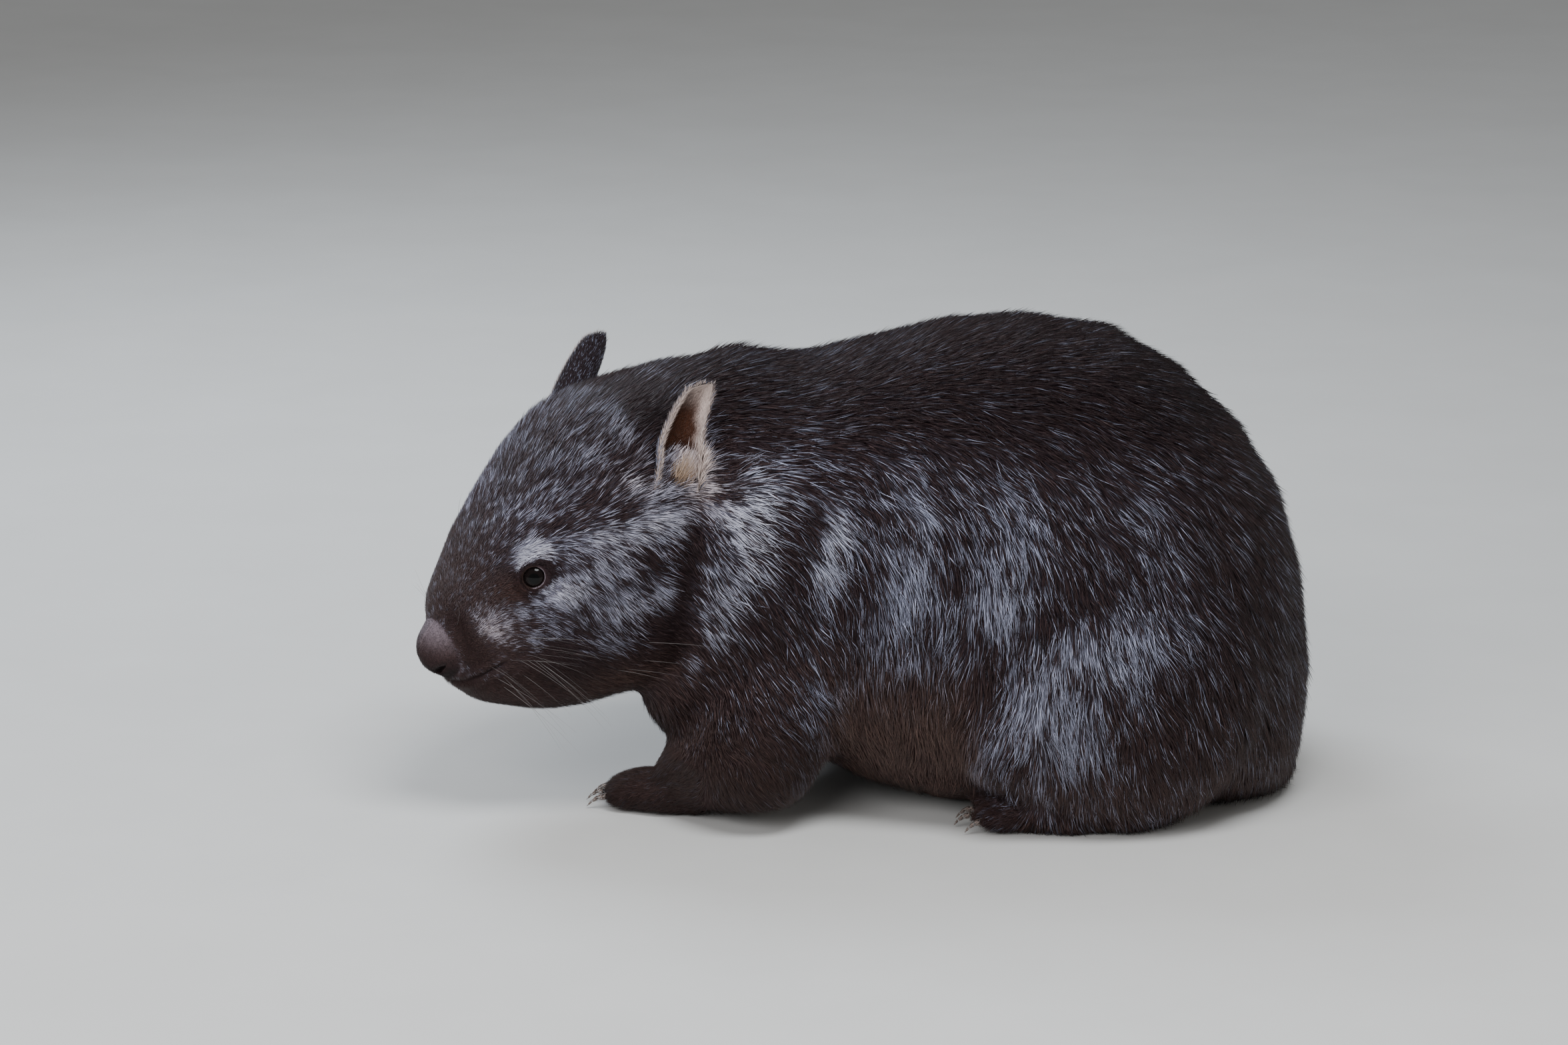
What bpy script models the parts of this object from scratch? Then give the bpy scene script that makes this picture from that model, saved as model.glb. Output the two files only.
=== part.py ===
"""A southern hairy-nosed wombat lying hunched on its forearms, head turned to its left.

Units are metres, +Z is up, the floor is z = 0, the animal faces -X and its left side is -Y.
The outer surfaces stand at the tips of the coat. The body is made whole and then parted.
"""
import math
from collections import namedtuple

import bmesh
import bpy
from mathutils import Matrix, Vector
from mathutils.bvhtree import BVHTree

GAP = 0.0003
# Grain and smoothing rounds of the melted skins, and the faces they are thinned to.
BODY_VOXEL = 0.004
BODY_ROUNDS = 14
PAW_VOXEL = 0.0022
PAW_ROUNDS = 5
COARSE_TRIANGLES = 3400
FINE_TRIANGLES = 6600
PAW_TRIANGLES = 300
LEG_CUT_FACES = (16, 9)
SIDES = ("left", "right")

Section = namedtuple("Section", "along aside widest half_width top bottom")

# Trunk sections, nape to rump: heights above the floor.
TRUNK = (
    Section(-0.104, -0.020, 0.152, 0.050, 0.224, 0.094),
    Section(-0.072, -0.012, 0.150, 0.070, 0.243, 0.068),
    Section(-0.036, -0.004, 0.145, 0.088, 0.259, 0.050),
    Section(0.008, -0.001, 0.134, 0.117, 0.254, 0.024),
    Section(0.050, 0.000, 0.118, 0.134, 0.262, 0.006),
    Section(0.090, 0.000, 0.110, 0.142, 0.272, -0.003),
    Section(0.135, 0.000, 0.105, 0.145, 0.276, -0.006),
    Section(0.185, 0.000, 0.101, 0.145, 0.270, -0.007),
    Section(0.225, 0.000, 0.096, 0.138, 0.249, -0.008),
    Section(0.260, 0.000, 0.086, 0.119, 0.218, -0.009),
    Section(0.285, 0.000, 0.078, 0.092, 0.182, -0.007),
    Section(0.299, 0.000, 0.070, 0.060, 0.140, 0.004),
)
TRUNK_END = 0.307
TRUNK_SQUARENESS = 2.3
# The share of its last section that a body keeps at its blunt end.
BLUNT = 0.25
CHEST = Vector((-0.041, -0.036, 0.088))
CHEST_RADII = (0.051, 0.064, 0.058)
TAIL_ROOT = Vector((0.290, 0, 0.108))
TAIL_TIP = Vector((0.303, 0, 0.072))
TAIL_RADII = (0.013, 0.0075)

# The head's frame: origin between the ear roots, x to the nose, y to its left, z to its crown.
HEAD_ORIGIN = Vector((-0.0694, -0.0207, 0.1730))
HEAD_YAW = math.radians(26)
HEAD_PITCH = math.radians(18)
HEAD = (
    Section(-0.062, 0, -0.010, 0.056, 0.052, -0.054),
    Section(-0.030, 0, -0.014, 0.073, 0.073, -0.076),
    Section(0.000, 0, -0.018, 0.079, 0.079, -0.085),
    Section(0.030, 0, -0.022, 0.081, 0.081, -0.089),
    Section(0.050, 0, -0.024, 0.080, 0.078, -0.089),
    Section(0.074, 0, -0.025, 0.074, 0.066, -0.088),
    Section(0.098, 0, -0.025, 0.063, 0.050, -0.086),
    Section(0.120, 0, -0.027, 0.052, 0.034, -0.079),
    Section(0.138, 0, -0.031, 0.043, 0.0155, -0.067),
    Section(0.151, 0, -0.036, 0.034, 0.003, -0.059),
)
HEAD_END = 0.160
HEAD_SQUARENESS = 2.5
# The head and the neck are parted by planes behind the ears that lean forward at the throat.
NECK_CUT_PITCH = math.radians(-10)
HEAD_BACK = 0.006
NECK_BACK = -0.044
THROAT_DROP = 0.101

EYE_PLACE = Vector((0.1041, 0.0465, 0.0104))
EYE_RADIUS = 0.0090
EYE_GAZE = Vector((0.42, 0.88, 0.16)).normalized()
LID_THICKNESS = 0.0022
# The hollow round the eye and the opening between the lids: distance out along the gaze, radii.
ORBIT_OUT = 0.0170
ORBIT_RADII = (0.0190, 0.0160, 0.0110)
SLIT_OUT = 0.0090
SLIT_RADII = (0.0071, 0.0061, 0.0060)

NOSE_PLACE = Vector((0.1465, 0, -0.0255))
NOSE_RADII = Vector((0.0240, 0.0235, 0.0180))
NOSTRIL_INNER = Vector((0.1665, 0.0080, -0.0350))
NOSTRIL_OUTER = Vector((0.1600, 0.0180, -0.0280))
NOSTRIL_RADII = (0.0034, 0.0022)

MOUTH_CENTRE = Vector((0.105, 0, -0.0430))
MOUTH_SWING = math.radians(62)
# The mouth's slope at its middle and how much it rises to its corners.
MOUTH_SLOPE = -0.01
MOUTH_RISE = 0.20
MOUTH_RADIUS = 0.0022
MOUTH_POINTS = 15

EAR_ROOT = Vector((0.0120, 0.0740, 0.0390))
EAR_TIP = Vector((-0.0190, 0.0740, 0.0850))
EAR_FACING = Vector((0.25, 1.0, -0.10))
EAR_SHEET = 0.0034
# The right ear is turned further forward at its base.
EAR_FORWARD_RIGHT = Vector((0.0100, 0, 0))

# Rings up an ear, as shares of its length, with how far back their middles lie.
Ring = namedtuple("Ring", "height back half_width")
EAR = (
    Ring(-0.30, 0.0010, 0.0148),
    Ring(0.05, 0.0000, 0.0150),
    Ring(0.24, -0.0028, 0.0148),
    Ring(0.42, -0.0036, 0.0131),
    Ring(0.60, -0.0032, 0.0117),
    Ring(0.75, -0.0019, 0.0106),
    Ring(0.86, -0.0011, 0.0094),
    Ring(0.93, 0.0002, 0.0072),
    Ring(0.975, 0.0024, 0.0046),
    Ring(1.00, 0.0042, 0.0022),
)
EAR_CUP = 0.87
EAR_ARC = math.radians(200)

# Limbs are given for the left side; the right is mirrored and shifted along the body.
FORE_SHIFT_RIGHT = 0.068
HIND_SHIFT_RIGHT = 0.012
SHIFT_SHARES = (0.2, 0.8, 1, 1)
SHOULDER = Vector((-0.002, -0.080, 0.134))
ELBOW = Vector((-0.014, -0.102, 0.046))
WRIST = Vector((-0.054, -0.071, 0.020))
FORE_TOES = Vector((-0.090, -0.054, 0.008))
HAUNCH = Vector((0.186, -0.093, 0.086))
KNEE = Vector((0.136, -0.112, 0.062))
HOCK = Vector((0.194, -0.108, 0.022))
HIND_TOES = Vector((0.119, -0.100, 0.008))
SHOULDER_RADII = (0.064, 0.045, 0.086)
UPPER_ARM_RADII = (0.046, 0.037)
FOREARM_RADII = (0.036, 0.023)
HAUNCH_RADII = (0.092, 0.063, 0.094)
THIGH_RADII = (0.060, 0.040)
SHANK_RADII = (0.040, 0.026)
PAW_HEIGHT = 0.009
HEEL_RADII = (0.018, 0.013)
TOE_RADII = (0.0145, 0.0064, 0.0086)

# Toes, half width of the foot, claw length and claw radius, for the front and hind feet.
Foot = namedtuple("Foot", "toes width claw claw_radius")
FEET = {"front": Foot(5, 0.0250, 0.015, 0.0034), "hind": Foot(4, 0.0230, 0.013, 0.0032)}
CLAW_ROOT_HEIGHT = 0.0078
CLAW_TIP_HEIGHT = 0.0016
CLAW_BOW = 0.16
TOE_FAN = 0.25


def clear_scene():
    for obj in list(bpy.data.objects):
        bpy.data.objects.remove(obj, do_unlink=True)


def collection(name):
    group = bpy.data.collections.new(name)
    bpy.context.scene.collection.children.link(group)
    return group


clear_scene()
PARTS = collection("wombat")
CUTTERS = collection("cutters")


def from_bmesh(bm, name):
    bmesh.ops.recalc_face_normals(bm, faces=bm.faces)
    mesh = bpy.data.meshes.new(name)
    bm.to_mesh(mesh)
    bm.free()
    obj = bpy.data.objects.new(name, mesh)
    CUTTERS.objects.link(obj)
    obj.hide_render = True
    obj.display_type = "WIRE"
    return obj


def remove(*objects):
    for obj in objects:
        bpy.data.objects.remove(obj, do_unlink=True)


def duplicate(obj, name):
    twin = bpy.data.objects.new(name, obj.data.copy())
    CUTTERS.objects.link(twin)
    twin.hide_render = True
    twin.display_type = "WIRE"
    return twin


def apply_modifiers(obj):
    evaluated = obj.evaluated_get(bpy.context.evaluated_depsgraph_get())
    mesh = bpy.data.meshes.new_from_object(evaluated)
    obj.modifiers.clear()
    obj.data = mesh
    return obj


def boolean(obj, cutter, operation):
    modifier = obj.modifiers.new(operation.lower(), "BOOLEAN")
    modifier.operation = operation
    modifier.object = cutter
    modifier.solver = "EXACT"
    return apply_modifiers(obj)


def keep_largest(obj):
    """Keep only the closed surface that holds the most volume."""
    bm = bmesh.new()
    bm.from_mesh(obj.data)
    bm.verts.ensure_lookup_table()
    seen = set()
    islands = []
    for seed in bm.verts:
        if seed in seen:
            continue
        seen.add(seed)
        island = [seed]
        for vert in island:
            for edge in vert.link_edges:
                other = edge.other_vert(vert)
                if other not in seen:
                    seen.add(other)
                    island.append(other)
        islands.append(island)
    if len(islands) > 1:
        largest = max(islands, key=extent)
        scraps = [vert for island in islands if island is not largest for vert in island]
        bmesh.ops.delete(bm, geom=scraps, context="VERTS")
        bm.to_mesh(obj.data)
    bm.free()
    return obj


def extent(island):
    size = Vector((1, 1, 1))
    for axis in range(3):
        places = [vert.co[axis] for vert in island]
        size[axis] = max(places) - min(places)
    return size.x * size.y * size.z


def ellipsoid(name, centre, radii, turn=Matrix.Identity(3), around=32, along=18):
    bm = bmesh.new()
    bmesh.ops.create_uvsphere(bm, u_segments=around, v_segments=along, radius=1)
    shape = turn.to_4x4() @ Matrix.Diagonal((*radii, 1))
    bmesh.ops.transform(bm, matrix=Matrix.Translation(centre) @ shape, verts=bm.verts)
    return from_bmesh(bm, name)


def limb(name, start, end, start_radius, end_radius):
    """A tapered length with round ends: the hull of two spheres."""
    bm = bmesh.new()
    for centre, radius in ((start, start_radius), (end, end_radius)):
        place = Matrix.Translation(centre)
        bmesh.ops.create_uvsphere(bm, u_segments=20, v_segments=12, radius=radius, matrix=place)
    bmesh.ops.delete(bm, geom=bm.edges[:] + bm.faces[:], context="EDGES_FACES")
    bmesh.ops.convex_hull(bm, input=bm.verts)
    bmesh.ops.delete(bm, geom=[vert for vert in bm.verts if not vert.link_faces], context="VERTS")
    return from_bmesh(bm, name)


def box(name, low, high, frame=Matrix.Identity(4)):
    bm = bmesh.new()
    low = Vector(low)
    high = Vector(high)
    place = Matrix.Translation((low + high) / 2) @ Matrix.Diagonal((*(high - low), 1))
    bmesh.ops.create_cube(bm, size=1, matrix=frame @ place)
    return from_bmesh(bm, name)


def bridge_rings(bm, rings):
    """Join rings of vertices into a closed skin with a flat cap at each end."""
    count = len(rings[0])
    for near, far in zip(rings, rings[1:]):
        for i in range(count):
            j = (i + 1) % count
            bm.faces.new((near[i], near[j], far[j], far[i]))
    bm.faces.new(rings[0])
    bm.faces.new(rings[-1])


def loft(name, sections, end, squareness, frame=Matrix.Identity(4), around=40):
    """A body through rounded sections, drawn in to a blunt point at its end."""
    bm = bmesh.new()
    last = sections[-1]
    close = last._replace(along=end, half_width=last.half_width * BLUNT,
                          top=last.widest + (last.top - last.widest) * BLUNT,
                          bottom=last.widest + (last.bottom - last.widest) * BLUNT)
    rings = []
    for section in (*sections, close):
        ring = []
        for i in range(around):
            angle = math.tau * i / around
            across = math.copysign(abs(math.cos(angle)) ** (2 / squareness), math.cos(angle))
            up = abs(math.sin(angle)) ** (2 / squareness)
            reach = section.top if math.sin(angle) > 0 else section.bottom
            point = Vector((section.along, section.aside + section.half_width * across,
                            section.widest + (reach - section.widest) * up))
            ring.append(bm.verts.new(frame @ point))
        rings.append(ring)
    bridge_rings(bm, rings)
    return from_bmesh(bm, name)


def fuse(name, pieces, voxel, rounds):
    """Melt overlapping pieces into one smooth skin."""
    bm = bmesh.new()
    for piece in pieces:
        bm.from_mesh(piece.data)
    remove(*pieces)
    whole = from_bmesh(bm, name)
    melt = whole.modifiers.new("melt", "REMESH")
    melt.mode = "VOXEL"
    melt.voxel_size = voxel
    melt.use_smooth_shade = True
    soften = whole.modifiers.new("soften", "SMOOTH")
    soften.factor = 0.5
    soften.iterations = rounds
    return apply_modifiers(whole)


def thinned(obj, name, triangles):
    """A copy of a skin with fewer faces."""
    twin = duplicate(obj, name)
    faces = sum(len(polygon.vertices) - 2 for polygon in twin.data.polygons)
    collapse = twin.modifiers.new("collapse", "DECIMATE")
    collapse.ratio = triangles / faces
    split = twin.modifiers.new("split", "TRIANGULATE")
    split.quad_method = "SHORTEST_DIAGONAL"
    return apply_modifiers(twin)


def trimmed(obj):
    """Cut away what lies under the floor, which leaves flats to rest on."""
    floor = box("floor", (-1, -1, -0.2), (1, 1, 0))
    boolean(obj, floor, "DIFFERENCE")
    remove(floor)
    return keep_largest(obj)


def grown(obj, name, distance=GAP):
    """A copy whose skin stands a little outside the original's."""
    shell = duplicate(obj, name)
    swell = shell.modifiers.new("swell", "DISPLACE")
    swell.strength = distance
    swell.mid_level = 0
    return apply_modifiers(shell)


def head_frame(angle):
    """The matrix from the head's frame, pitched down by an angle, to the body's."""
    to_nose = Matrix.Rotation(math.pi, 4, "Z")
    yaw = Matrix.Rotation(HEAD_YAW, 4, "Z")
    pitch = Matrix.Rotation(angle, 4, "Y")
    return Matrix.Translation(HEAD_ORIGIN) @ yaw @ to_nose @ pitch


HEAD_FRAME = head_frame(HEAD_PITCH)
NECK_FRAME = head_frame(NECK_CUT_PITCH)


def side_sign(side):
    """Plus one on the animal's left, which is +y in the head's frame and -Y in the body's."""
    return 1 if side == "left" else -1


def mirrored(place, shift):
    return Vector((place.x + shift, -place.y, place.z))


def side_places(side):
    """The limb joints of one side, in order from shoulder to hind toes."""
    fore = (SHOULDER, ELBOW, WRIST, FORE_TOES)
    hind = (HAUNCH, KNEE, HOCK, HIND_TOES)
    if side == "left":
        return fore, hind
    fore = [mirrored(place, FORE_SHIFT_RIGHT * share) for place, share in zip(fore, SHIFT_SHARES)]
    hind = [mirrored(place, HIND_SHIFT_RIGHT * share) for place, share in zip(hind, SHIFT_SHARES)]
    return fore, hind


def limb_pieces(side):
    (shoulder, elbow, wrist, toes), (haunch, knee, hock, hind_toes) = side_places(side)
    return [
        ellipsoid("shoulder", shoulder, SHOULDER_RADII),
        limb("upper_arm", shoulder + Vector((0.006, 0, -0.035)), elbow, *UPPER_ARM_RADII),
        limb("forearm", elbow, wrist, *FOREARM_RADII),
        ellipsoid("haunch", haunch, HAUNCH_RADII),
        limb("thigh", haunch + Vector((-0.030, 0, 0)), knee, *THIGH_RADII),
        limb("shank", knee, hock, *SHANK_RADII),
    ]


def body_pieces():
    pieces = [
        loft("trunk", TRUNK, TRUNK_END, TRUNK_SQUARENESS),
        loft("skull", HEAD, HEAD_END, HEAD_SQUARENESS, HEAD_FRAME),
        ellipsoid("chest", CHEST, CHEST_RADII),
    ]
    for side in SIDES:
        pieces += limb_pieces(side)
    return pieces


def foot_lines(ankle, toes):
    """Level directions along a foot to its toes and across it."""
    ahead = (toes - ankle).to_2d().normalized().to_3d()
    return ahead, Vector((-ahead.y, ahead.x, 0))


def toe_offsets(kind):
    """Where each toe lies across its foot, from -1 to 1."""
    count = FEET[kind].toes
    return [2 * i / (count - 1) - 1 for i in range(count)]


def paw(name, kind, ankle, toes):
    """A flat foot with a row of toes, its heel sunk in the leg, and a copy a gap larger."""
    ahead, aside = foot_lines(ankle, toes)
    turn = Matrix((ahead, aside, Vector((0, 0, 1)))).transposed()
    width = FEET[kind].width
    palm = ankle.lerp(toes, 0.45)
    palm.z = PAW_HEIGHT
    pieces = [
        limb("heel", ankle, palm, *HEEL_RADII),
        ellipsoid("palm", palm, (0.036, width, 0.013), turn, 24, 14),
    ]
    for offset in toe_offsets(kind):
        place = toes + aside * (width - 0.006) * offset - ahead * 0.008 * offset * offset
        heading = Matrix.Rotation(TOE_FAN * offset, 3, "Z") @ turn
        pieces.append(ellipsoid("toe", place, TOE_RADII, heading, 16, 10))
    whole = fuse(name, pieces, PAW_VOXEL, PAW_ROUNDS)
    foot = thinned(whole, name, PAW_TRIANGLES)
    remove(whole)
    larger = grown(foot, "larger")
    return trimmed(foot), larger


def take_off(whole, name, region, region_grown, source=None):
    """Make a node of what lies inside a region and leave the rest, a gap apart."""
    node = duplicate(source or whole, name)
    boolean(node, region, "INTERSECT")
    boolean(whole, region_grown, "DIFFERENCE")
    remove(region, region_grown)
    return keep_largest(node)


def leg_regions(side):
    """Name, centre and radii of the round space that each leg of one side takes up."""
    fore, hind = side_places(side)
    outward = Vector((0, -side_sign(side), 0))
    front_centre = fore[1] + Vector((-0.018, 0, 0.022)) + outward * 0.006
    hind_centre = hind[1] + Vector((0.042, 0, 0.012)) + outward * 0.022
    return (
        ("front_leg_" + side, front_centre, (0.076, 0.060, 0.088)),
        ("hind_leg_" + side, hind_centre, (0.100, 0.072, 0.108)),
    )


def neck_cut(back, margin):
    """The space ahead of a plane across the neck and above a plane under the jaw."""
    ahead = box("cut", (back - margin, -0.16, -0.3), (0.3, 0.16, 0.16), NECK_FRAME)
    above = box("above", (-0.3, -0.2, -THROAT_DROP - margin), (0.3, 0.2, 0.2), HEAD_FRAME)
    boolean(ahead, above, "INTERSECT")
    remove(above)
    return ahead


def part_body():
    """The body's own nodes, and the grown skins that what sits on them is cut clear of."""
    skin = fuse("skin", body_pieces(), BODY_VOXEL, BODY_ROUNDS)
    fine = thinned(skin, "fine", FINE_TRIANGLES)
    body = thinned(skin, "body", COARSE_TRIANGLES)
    remove(skin)
    larger = {"head": grown(fine, "larger"), "torso": grown(body, "larger")}
    trimmed(body)
    nodes = {}
    nodes["head"] = take_off(body, "head", neck_cut(HEAD_BACK, 0), neck_cut(HEAD_BACK, GAP), fine)
    remove(fine)
    around, along = LEG_CUT_FACES
    for side in SIDES:
        for name, centre, radii in leg_regions(side):
            cuts = []
            for margin in (0, GAP):
                reach = [radius + margin for radius in radii]
                cuts.append(ellipsoid("cut", centre, reach, around=around, along=along))
            nodes[name] = take_off(body, name, *cuts)
    nodes["neck"] = take_off(body, "neck", neck_cut(NECK_BACK, 0), neck_cut(NECK_BACK, GAP))
    for side in SIDES:
        for kind, places in zip(FEET, side_places(side)):
            name = kind + "_foot_" + side
            nodes[name], larger[name] = paw(name, kind, *places[2:])
            for neighbour in (nodes[kind + "_leg_" + side], body):
                boolean(neighbour, larger[name], "DIFFERENCE")
            keep_largest(nodes[kind + "_leg_" + side])
    nodes["torso"] = keep_largest(body)
    return nodes, larger


def on_side(place, side):
    return Vector((place.x, place.y * side_sign(side), place.z))


def eye(side):
    centre = HEAD_FRAME @ on_side(EYE_PLACE, side)
    return ellipsoid("eye_" + side, centre, [EYE_RADIUS] * 3, around=18, along=10)


def eyelids(head, side):
    """Sink the orbit, then leave a pair of lids round an opening before the eye."""
    centre = HEAD_FRAME @ on_side(EYE_PLACE, side)
    gaze = (HEAD_FRAME.to_3x3() @ on_side(EYE_GAZE, side)).normalized()
    forward = HEAD_FRAME.to_3x3() @ Vector((1, 0, 0))
    along = (forward - gaze * forward.dot(gaze)).normalized()
    across = gaze.cross(along)
    turn = Matrix((along, across, gaze)).transposed()
    orbit = ellipsoid("orbit", centre + gaze * ORBIT_OUT, ORBIT_RADII, turn, 20, 10)
    boolean(head, orbit, "DIFFERENCE")
    lids = ellipsoid("lids", centre, [EYE_RADIUS + LID_THICKNESS] * 3, turn, 20, 12)
    boolean(head, lids, "UNION")
    ball = ellipsoid("ball", centre, [EYE_RADIUS + GAP] * 3, turn, 20, 12)
    slit = ellipsoid("slit", centre + gaze * SLIT_OUT, SLIT_RADII, turn, 18, 10)
    boolean(head, ball, "DIFFERENCE")
    boolean(head, slit, "DIFFERENCE")
    remove(orbit, lids, ball, slit)


def nose_solid():
    return ellipsoid("nose", HEAD_FRAME @ NOSE_PLACE, NOSE_RADII, HEAD_FRAME.to_3x3(), 20, 12)


def nostrils(nose):
    for side in SIDES:
        start = HEAD_FRAME @ on_side(NOSTRIL_INNER, side)
        end = HEAD_FRAME @ on_side(NOSTRIL_OUTER, side)
        pit = limb("pit", start, end, *NOSTRIL_RADII)
        boolean(nose, pit, "DIFFERENCE")
        remove(pit)


def ear_solid(side):
    """A pointed sheet curled round an open cup."""
    root = on_side(EAR_ROOT, side)
    if side == "right":
        root += EAR_FORWARD_RIGHT
    tip = on_side(EAR_TIP, side)
    axis = (tip - root).normalized()
    length = (tip - root).length
    facing = on_side(EAR_FACING, side)
    facing = (facing - axis * facing.dot(axis)).normalized()
    width_line = axis.cross(facing)
    arc = 8
    bm = bmesh.new()
    rings = []
    for height, back, half_width in EAR:
        depth = EAR_CUP * half_width * (1 - 0.35 * max(height, 0))
        sheet = min(EAR_SHEET * (1 - 0.45 * max(height, 0)), 0.6 * half_width)
        middle = root + axis * length * height - facing * depth * 0.4
        middle += width_line * back * side_sign(side)
        outer = []
        inner = []
        for i in range(arc + 1):
            angle = EAR_ARC * (i / arc - 0.5)
            for line, cut in ((outer, 0), (inner, sheet)):
                aside = (half_width - cut) * math.sin(angle)
                behind = (depth - cut) * math.cos(angle)
                line.append(middle + width_line * aside - facing * behind)
        ring = [bm.verts.new(HEAD_FRAME @ place) for place in outer + inner[::-1]]
        rings.append(ring)
    bridge_rings(bm, rings)
    bmesh.ops.triangulate(bm, faces=bm.faces)
    return from_bmesh(bm, "ear_" + side)


def claw(name, root, tip, radius):
    """A horn claw, bowed upward between its root and its tip."""
    steps = 4
    around = 6
    line = tip - root
    forward = line.normalized()
    aside = forward.cross(Vector((0, 0, 1))).normalized()
    up = aside.cross(forward)
    bm = bmesh.new()
    rings = []
    for k in range(steps + 1):
        t = k / steps
        middle = root + line * t + up * CLAW_BOW * line.length * math.sin(math.pi * t)
        size = radius * (1 - 0.86 * t)
        ring = []
        for i in range(around):
            angle = math.tau * i / around
            around_middle = aside * math.cos(angle) + up * 0.8 * math.sin(angle)
            ring.append(bm.verts.new(middle + around_middle * size))
        rings.append(ring)
    bridge_rings(bm, rings)
    bmesh.ops.triangulate(bm, faces=bm.faces)
    return from_bmesh(bm, name)


def claws(side, nodes, larger):
    for kind, places in zip(FEET, side_places(side)):
        foot = FEET[kind]
        ankle, toes = places[2:]
        ahead, aside = foot_lines(ankle, toes)
        for number, offset in enumerate(toe_offsets(kind), 1):
            reach = 0.009 - 0.008 * offset * offset
            root = toes + aside * (foot.width - 0.0055) * offset + ahead * reach
            root.z = CLAW_ROOT_HEIGHT
            tip = root + (ahead + aside * TOE_FAN * offset) * foot.claw
            tip.z = CLAW_TIP_HEIGHT
            name = "claw_{}_{}_{}".format(kind, side, number)
            nail = claw(name, root, tip, foot.claw_radius)
            boolean(nail, larger[kind + "_foot_" + side], "DIFFERENCE")
            nodes[name] = keep_largest(nail)
            room = grown(nail, "room", 2 * GAP)
            boolean(nodes["torso"], room, "DIFFERENCE")
            remove(room)


def mouth_path(head):
    """Points on the head's skin from one mouth corner round under the nose to the other."""
    tree = BVHTree.FromObject(head, bpy.context.evaluated_depsgraph_get())
    start = HEAD_FRAME @ MOUTH_CENTRE
    points = []
    for i in range(MOUTH_POINTS):
        swing = MOUTH_SWING * (2 * i / (MOUTH_POINTS - 1) - 1)
        slope = MOUTH_SLOPE + MOUTH_RISE * math.sin(swing) ** 2
        direction = Vector((math.cos(swing), math.sin(swing), slope))
        hit = tree.ray_cast(start, (HEAD_FRAME.to_3x3() @ direction).normalized())[0]
        points.append(hit)
    return points


def tube(name, points, radius):
    """A round bar through points, capped at both ends, as a closed mesh."""
    curve = bpy.data.curves.new(name, "CURVE")
    curve.dimensions = "3D"
    curve.bevel_depth = radius
    curve.bevel_resolution = 2
    curve.use_fill_caps = True
    spline = curve.splines.new("POLY")
    spline.points.add(len(points) - 1)
    for point, place in zip(spline.points, points):
        point.co = (*place, 1)
    wire = bpy.data.objects.new(name, curve)
    CUTTERS.objects.link(wire)
    mesh = bpy.data.meshes.new_from_object(wire.evaluated_get(bpy.context.evaluated_depsgraph_get()))
    remove(wire)
    bm = bmesh.new()
    bm.from_mesh(mesh)
    bmesh.ops.remove_doubles(bm, verts=bm.verts, dist=0.00001)
    return from_bmesh(bm, name)


def mouth(head):
    groove = tube("groove", mouth_path(head), MOUTH_RADIUS)
    boolean(head, groove, "DIFFERENCE")
    remove(groove)


FINISHES = {
    "torso": ((0.060, 0.050, 0.055), 0.85),
    "neck": ((0.075, 0.062, 0.066), 0.85),
    "head": ((0.090, 0.078, 0.082), 0.85),
    "front_leg": ((0.070, 0.055, 0.050), 0.85),
    "hind_leg": ((0.085, 0.075, 0.080), 0.85),
    "front_foot": ((0.060, 0.052, 0.054), 0.80),
    "hind_foot": ((0.055, 0.046, 0.046), 0.80),
    "ear": ((0.300, 0.190, 0.150), 0.70),
    "nose": ((0.180, 0.130, 0.130), 0.75),
    "eye": ((0.008, 0.006, 0.006), 0.08),
    "tail": ((0.060, 0.048, 0.048), 0.85),
    "claw": ((0.220, 0.190, 0.160), 0.40),
}


def finish(obj, name):
    kind = max((key for key in FINISHES if name.startswith(key)), key=len)
    colour, roughness = FINISHES[kind]
    material = bpy.data.materials.new(name + "_finish")
    material.use_nodes = True
    shader = material.node_tree.nodes["Principled BSDF"]
    shader.inputs["Base Color"].default_value = (*colour, 1)
    shader.inputs["Roughness"].default_value = roughness
    shader.inputs["Metallic"].default_value = 0
    obj.data.materials.clear()
    obj.data.materials.append(material)


def publish(nodes):
    """Stand the nodes on the middle of their common foot and put them in the part's collection."""
    corners = [vert.co for obj in nodes.values() for vert in obj.data.vertices]
    low = [min(corner[axis] for corner in corners) for axis in range(3)]
    high = [max(corner[axis] for corner in corners) for axis in range(3)]
    shift = Matrix.Translation((-(low[0] + high[0]) / 2, -(low[1] + high[1]) / 2, -low[2]))
    for name, obj in nodes.items():
        obj.data.transform(shift)
        obj.data.shade_smooth()
        obj.data.set_sharp_from_angle(angle=math.radians(40))
        obj.name = name
        obj.hide_render = False
        obj.display_type = "TEXTURED"
        CUTTERS.objects.unlink(obj)
        PARTS.objects.link(obj)
        finish(obj, name)


def build():
    nodes, larger = part_body()
    head = nodes["head"]
    nose = nose_solid()
    nostrils(nose)
    nodes["nose"] = nose
    for side in SIDES:
        nodes["ear_" + side] = ear_solid(side)
    for name in ("nose", "ear_left", "ear_right"):
        boolean(nodes[name], larger["head"], "DIFFERENCE")
        keep_largest(nodes[name])
    mouth(head)
    for side in SIDES:
        eyelids(head, side)
        nodes["eye_" + side] = eye(side)
        claws(side, nodes, larger)
    keep_largest(head)
    nodes["tail"] = limb("tail", TAIL_ROOT, TAIL_TIP, *TAIL_RADII)
    boolean(nodes["tail"], larger["torso"], "DIFFERENCE")
    keep_largest(nodes["tail"])
    keep_largest(nodes["torso"])
    remove(*larger.values())
    publish(nodes)


build()
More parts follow.
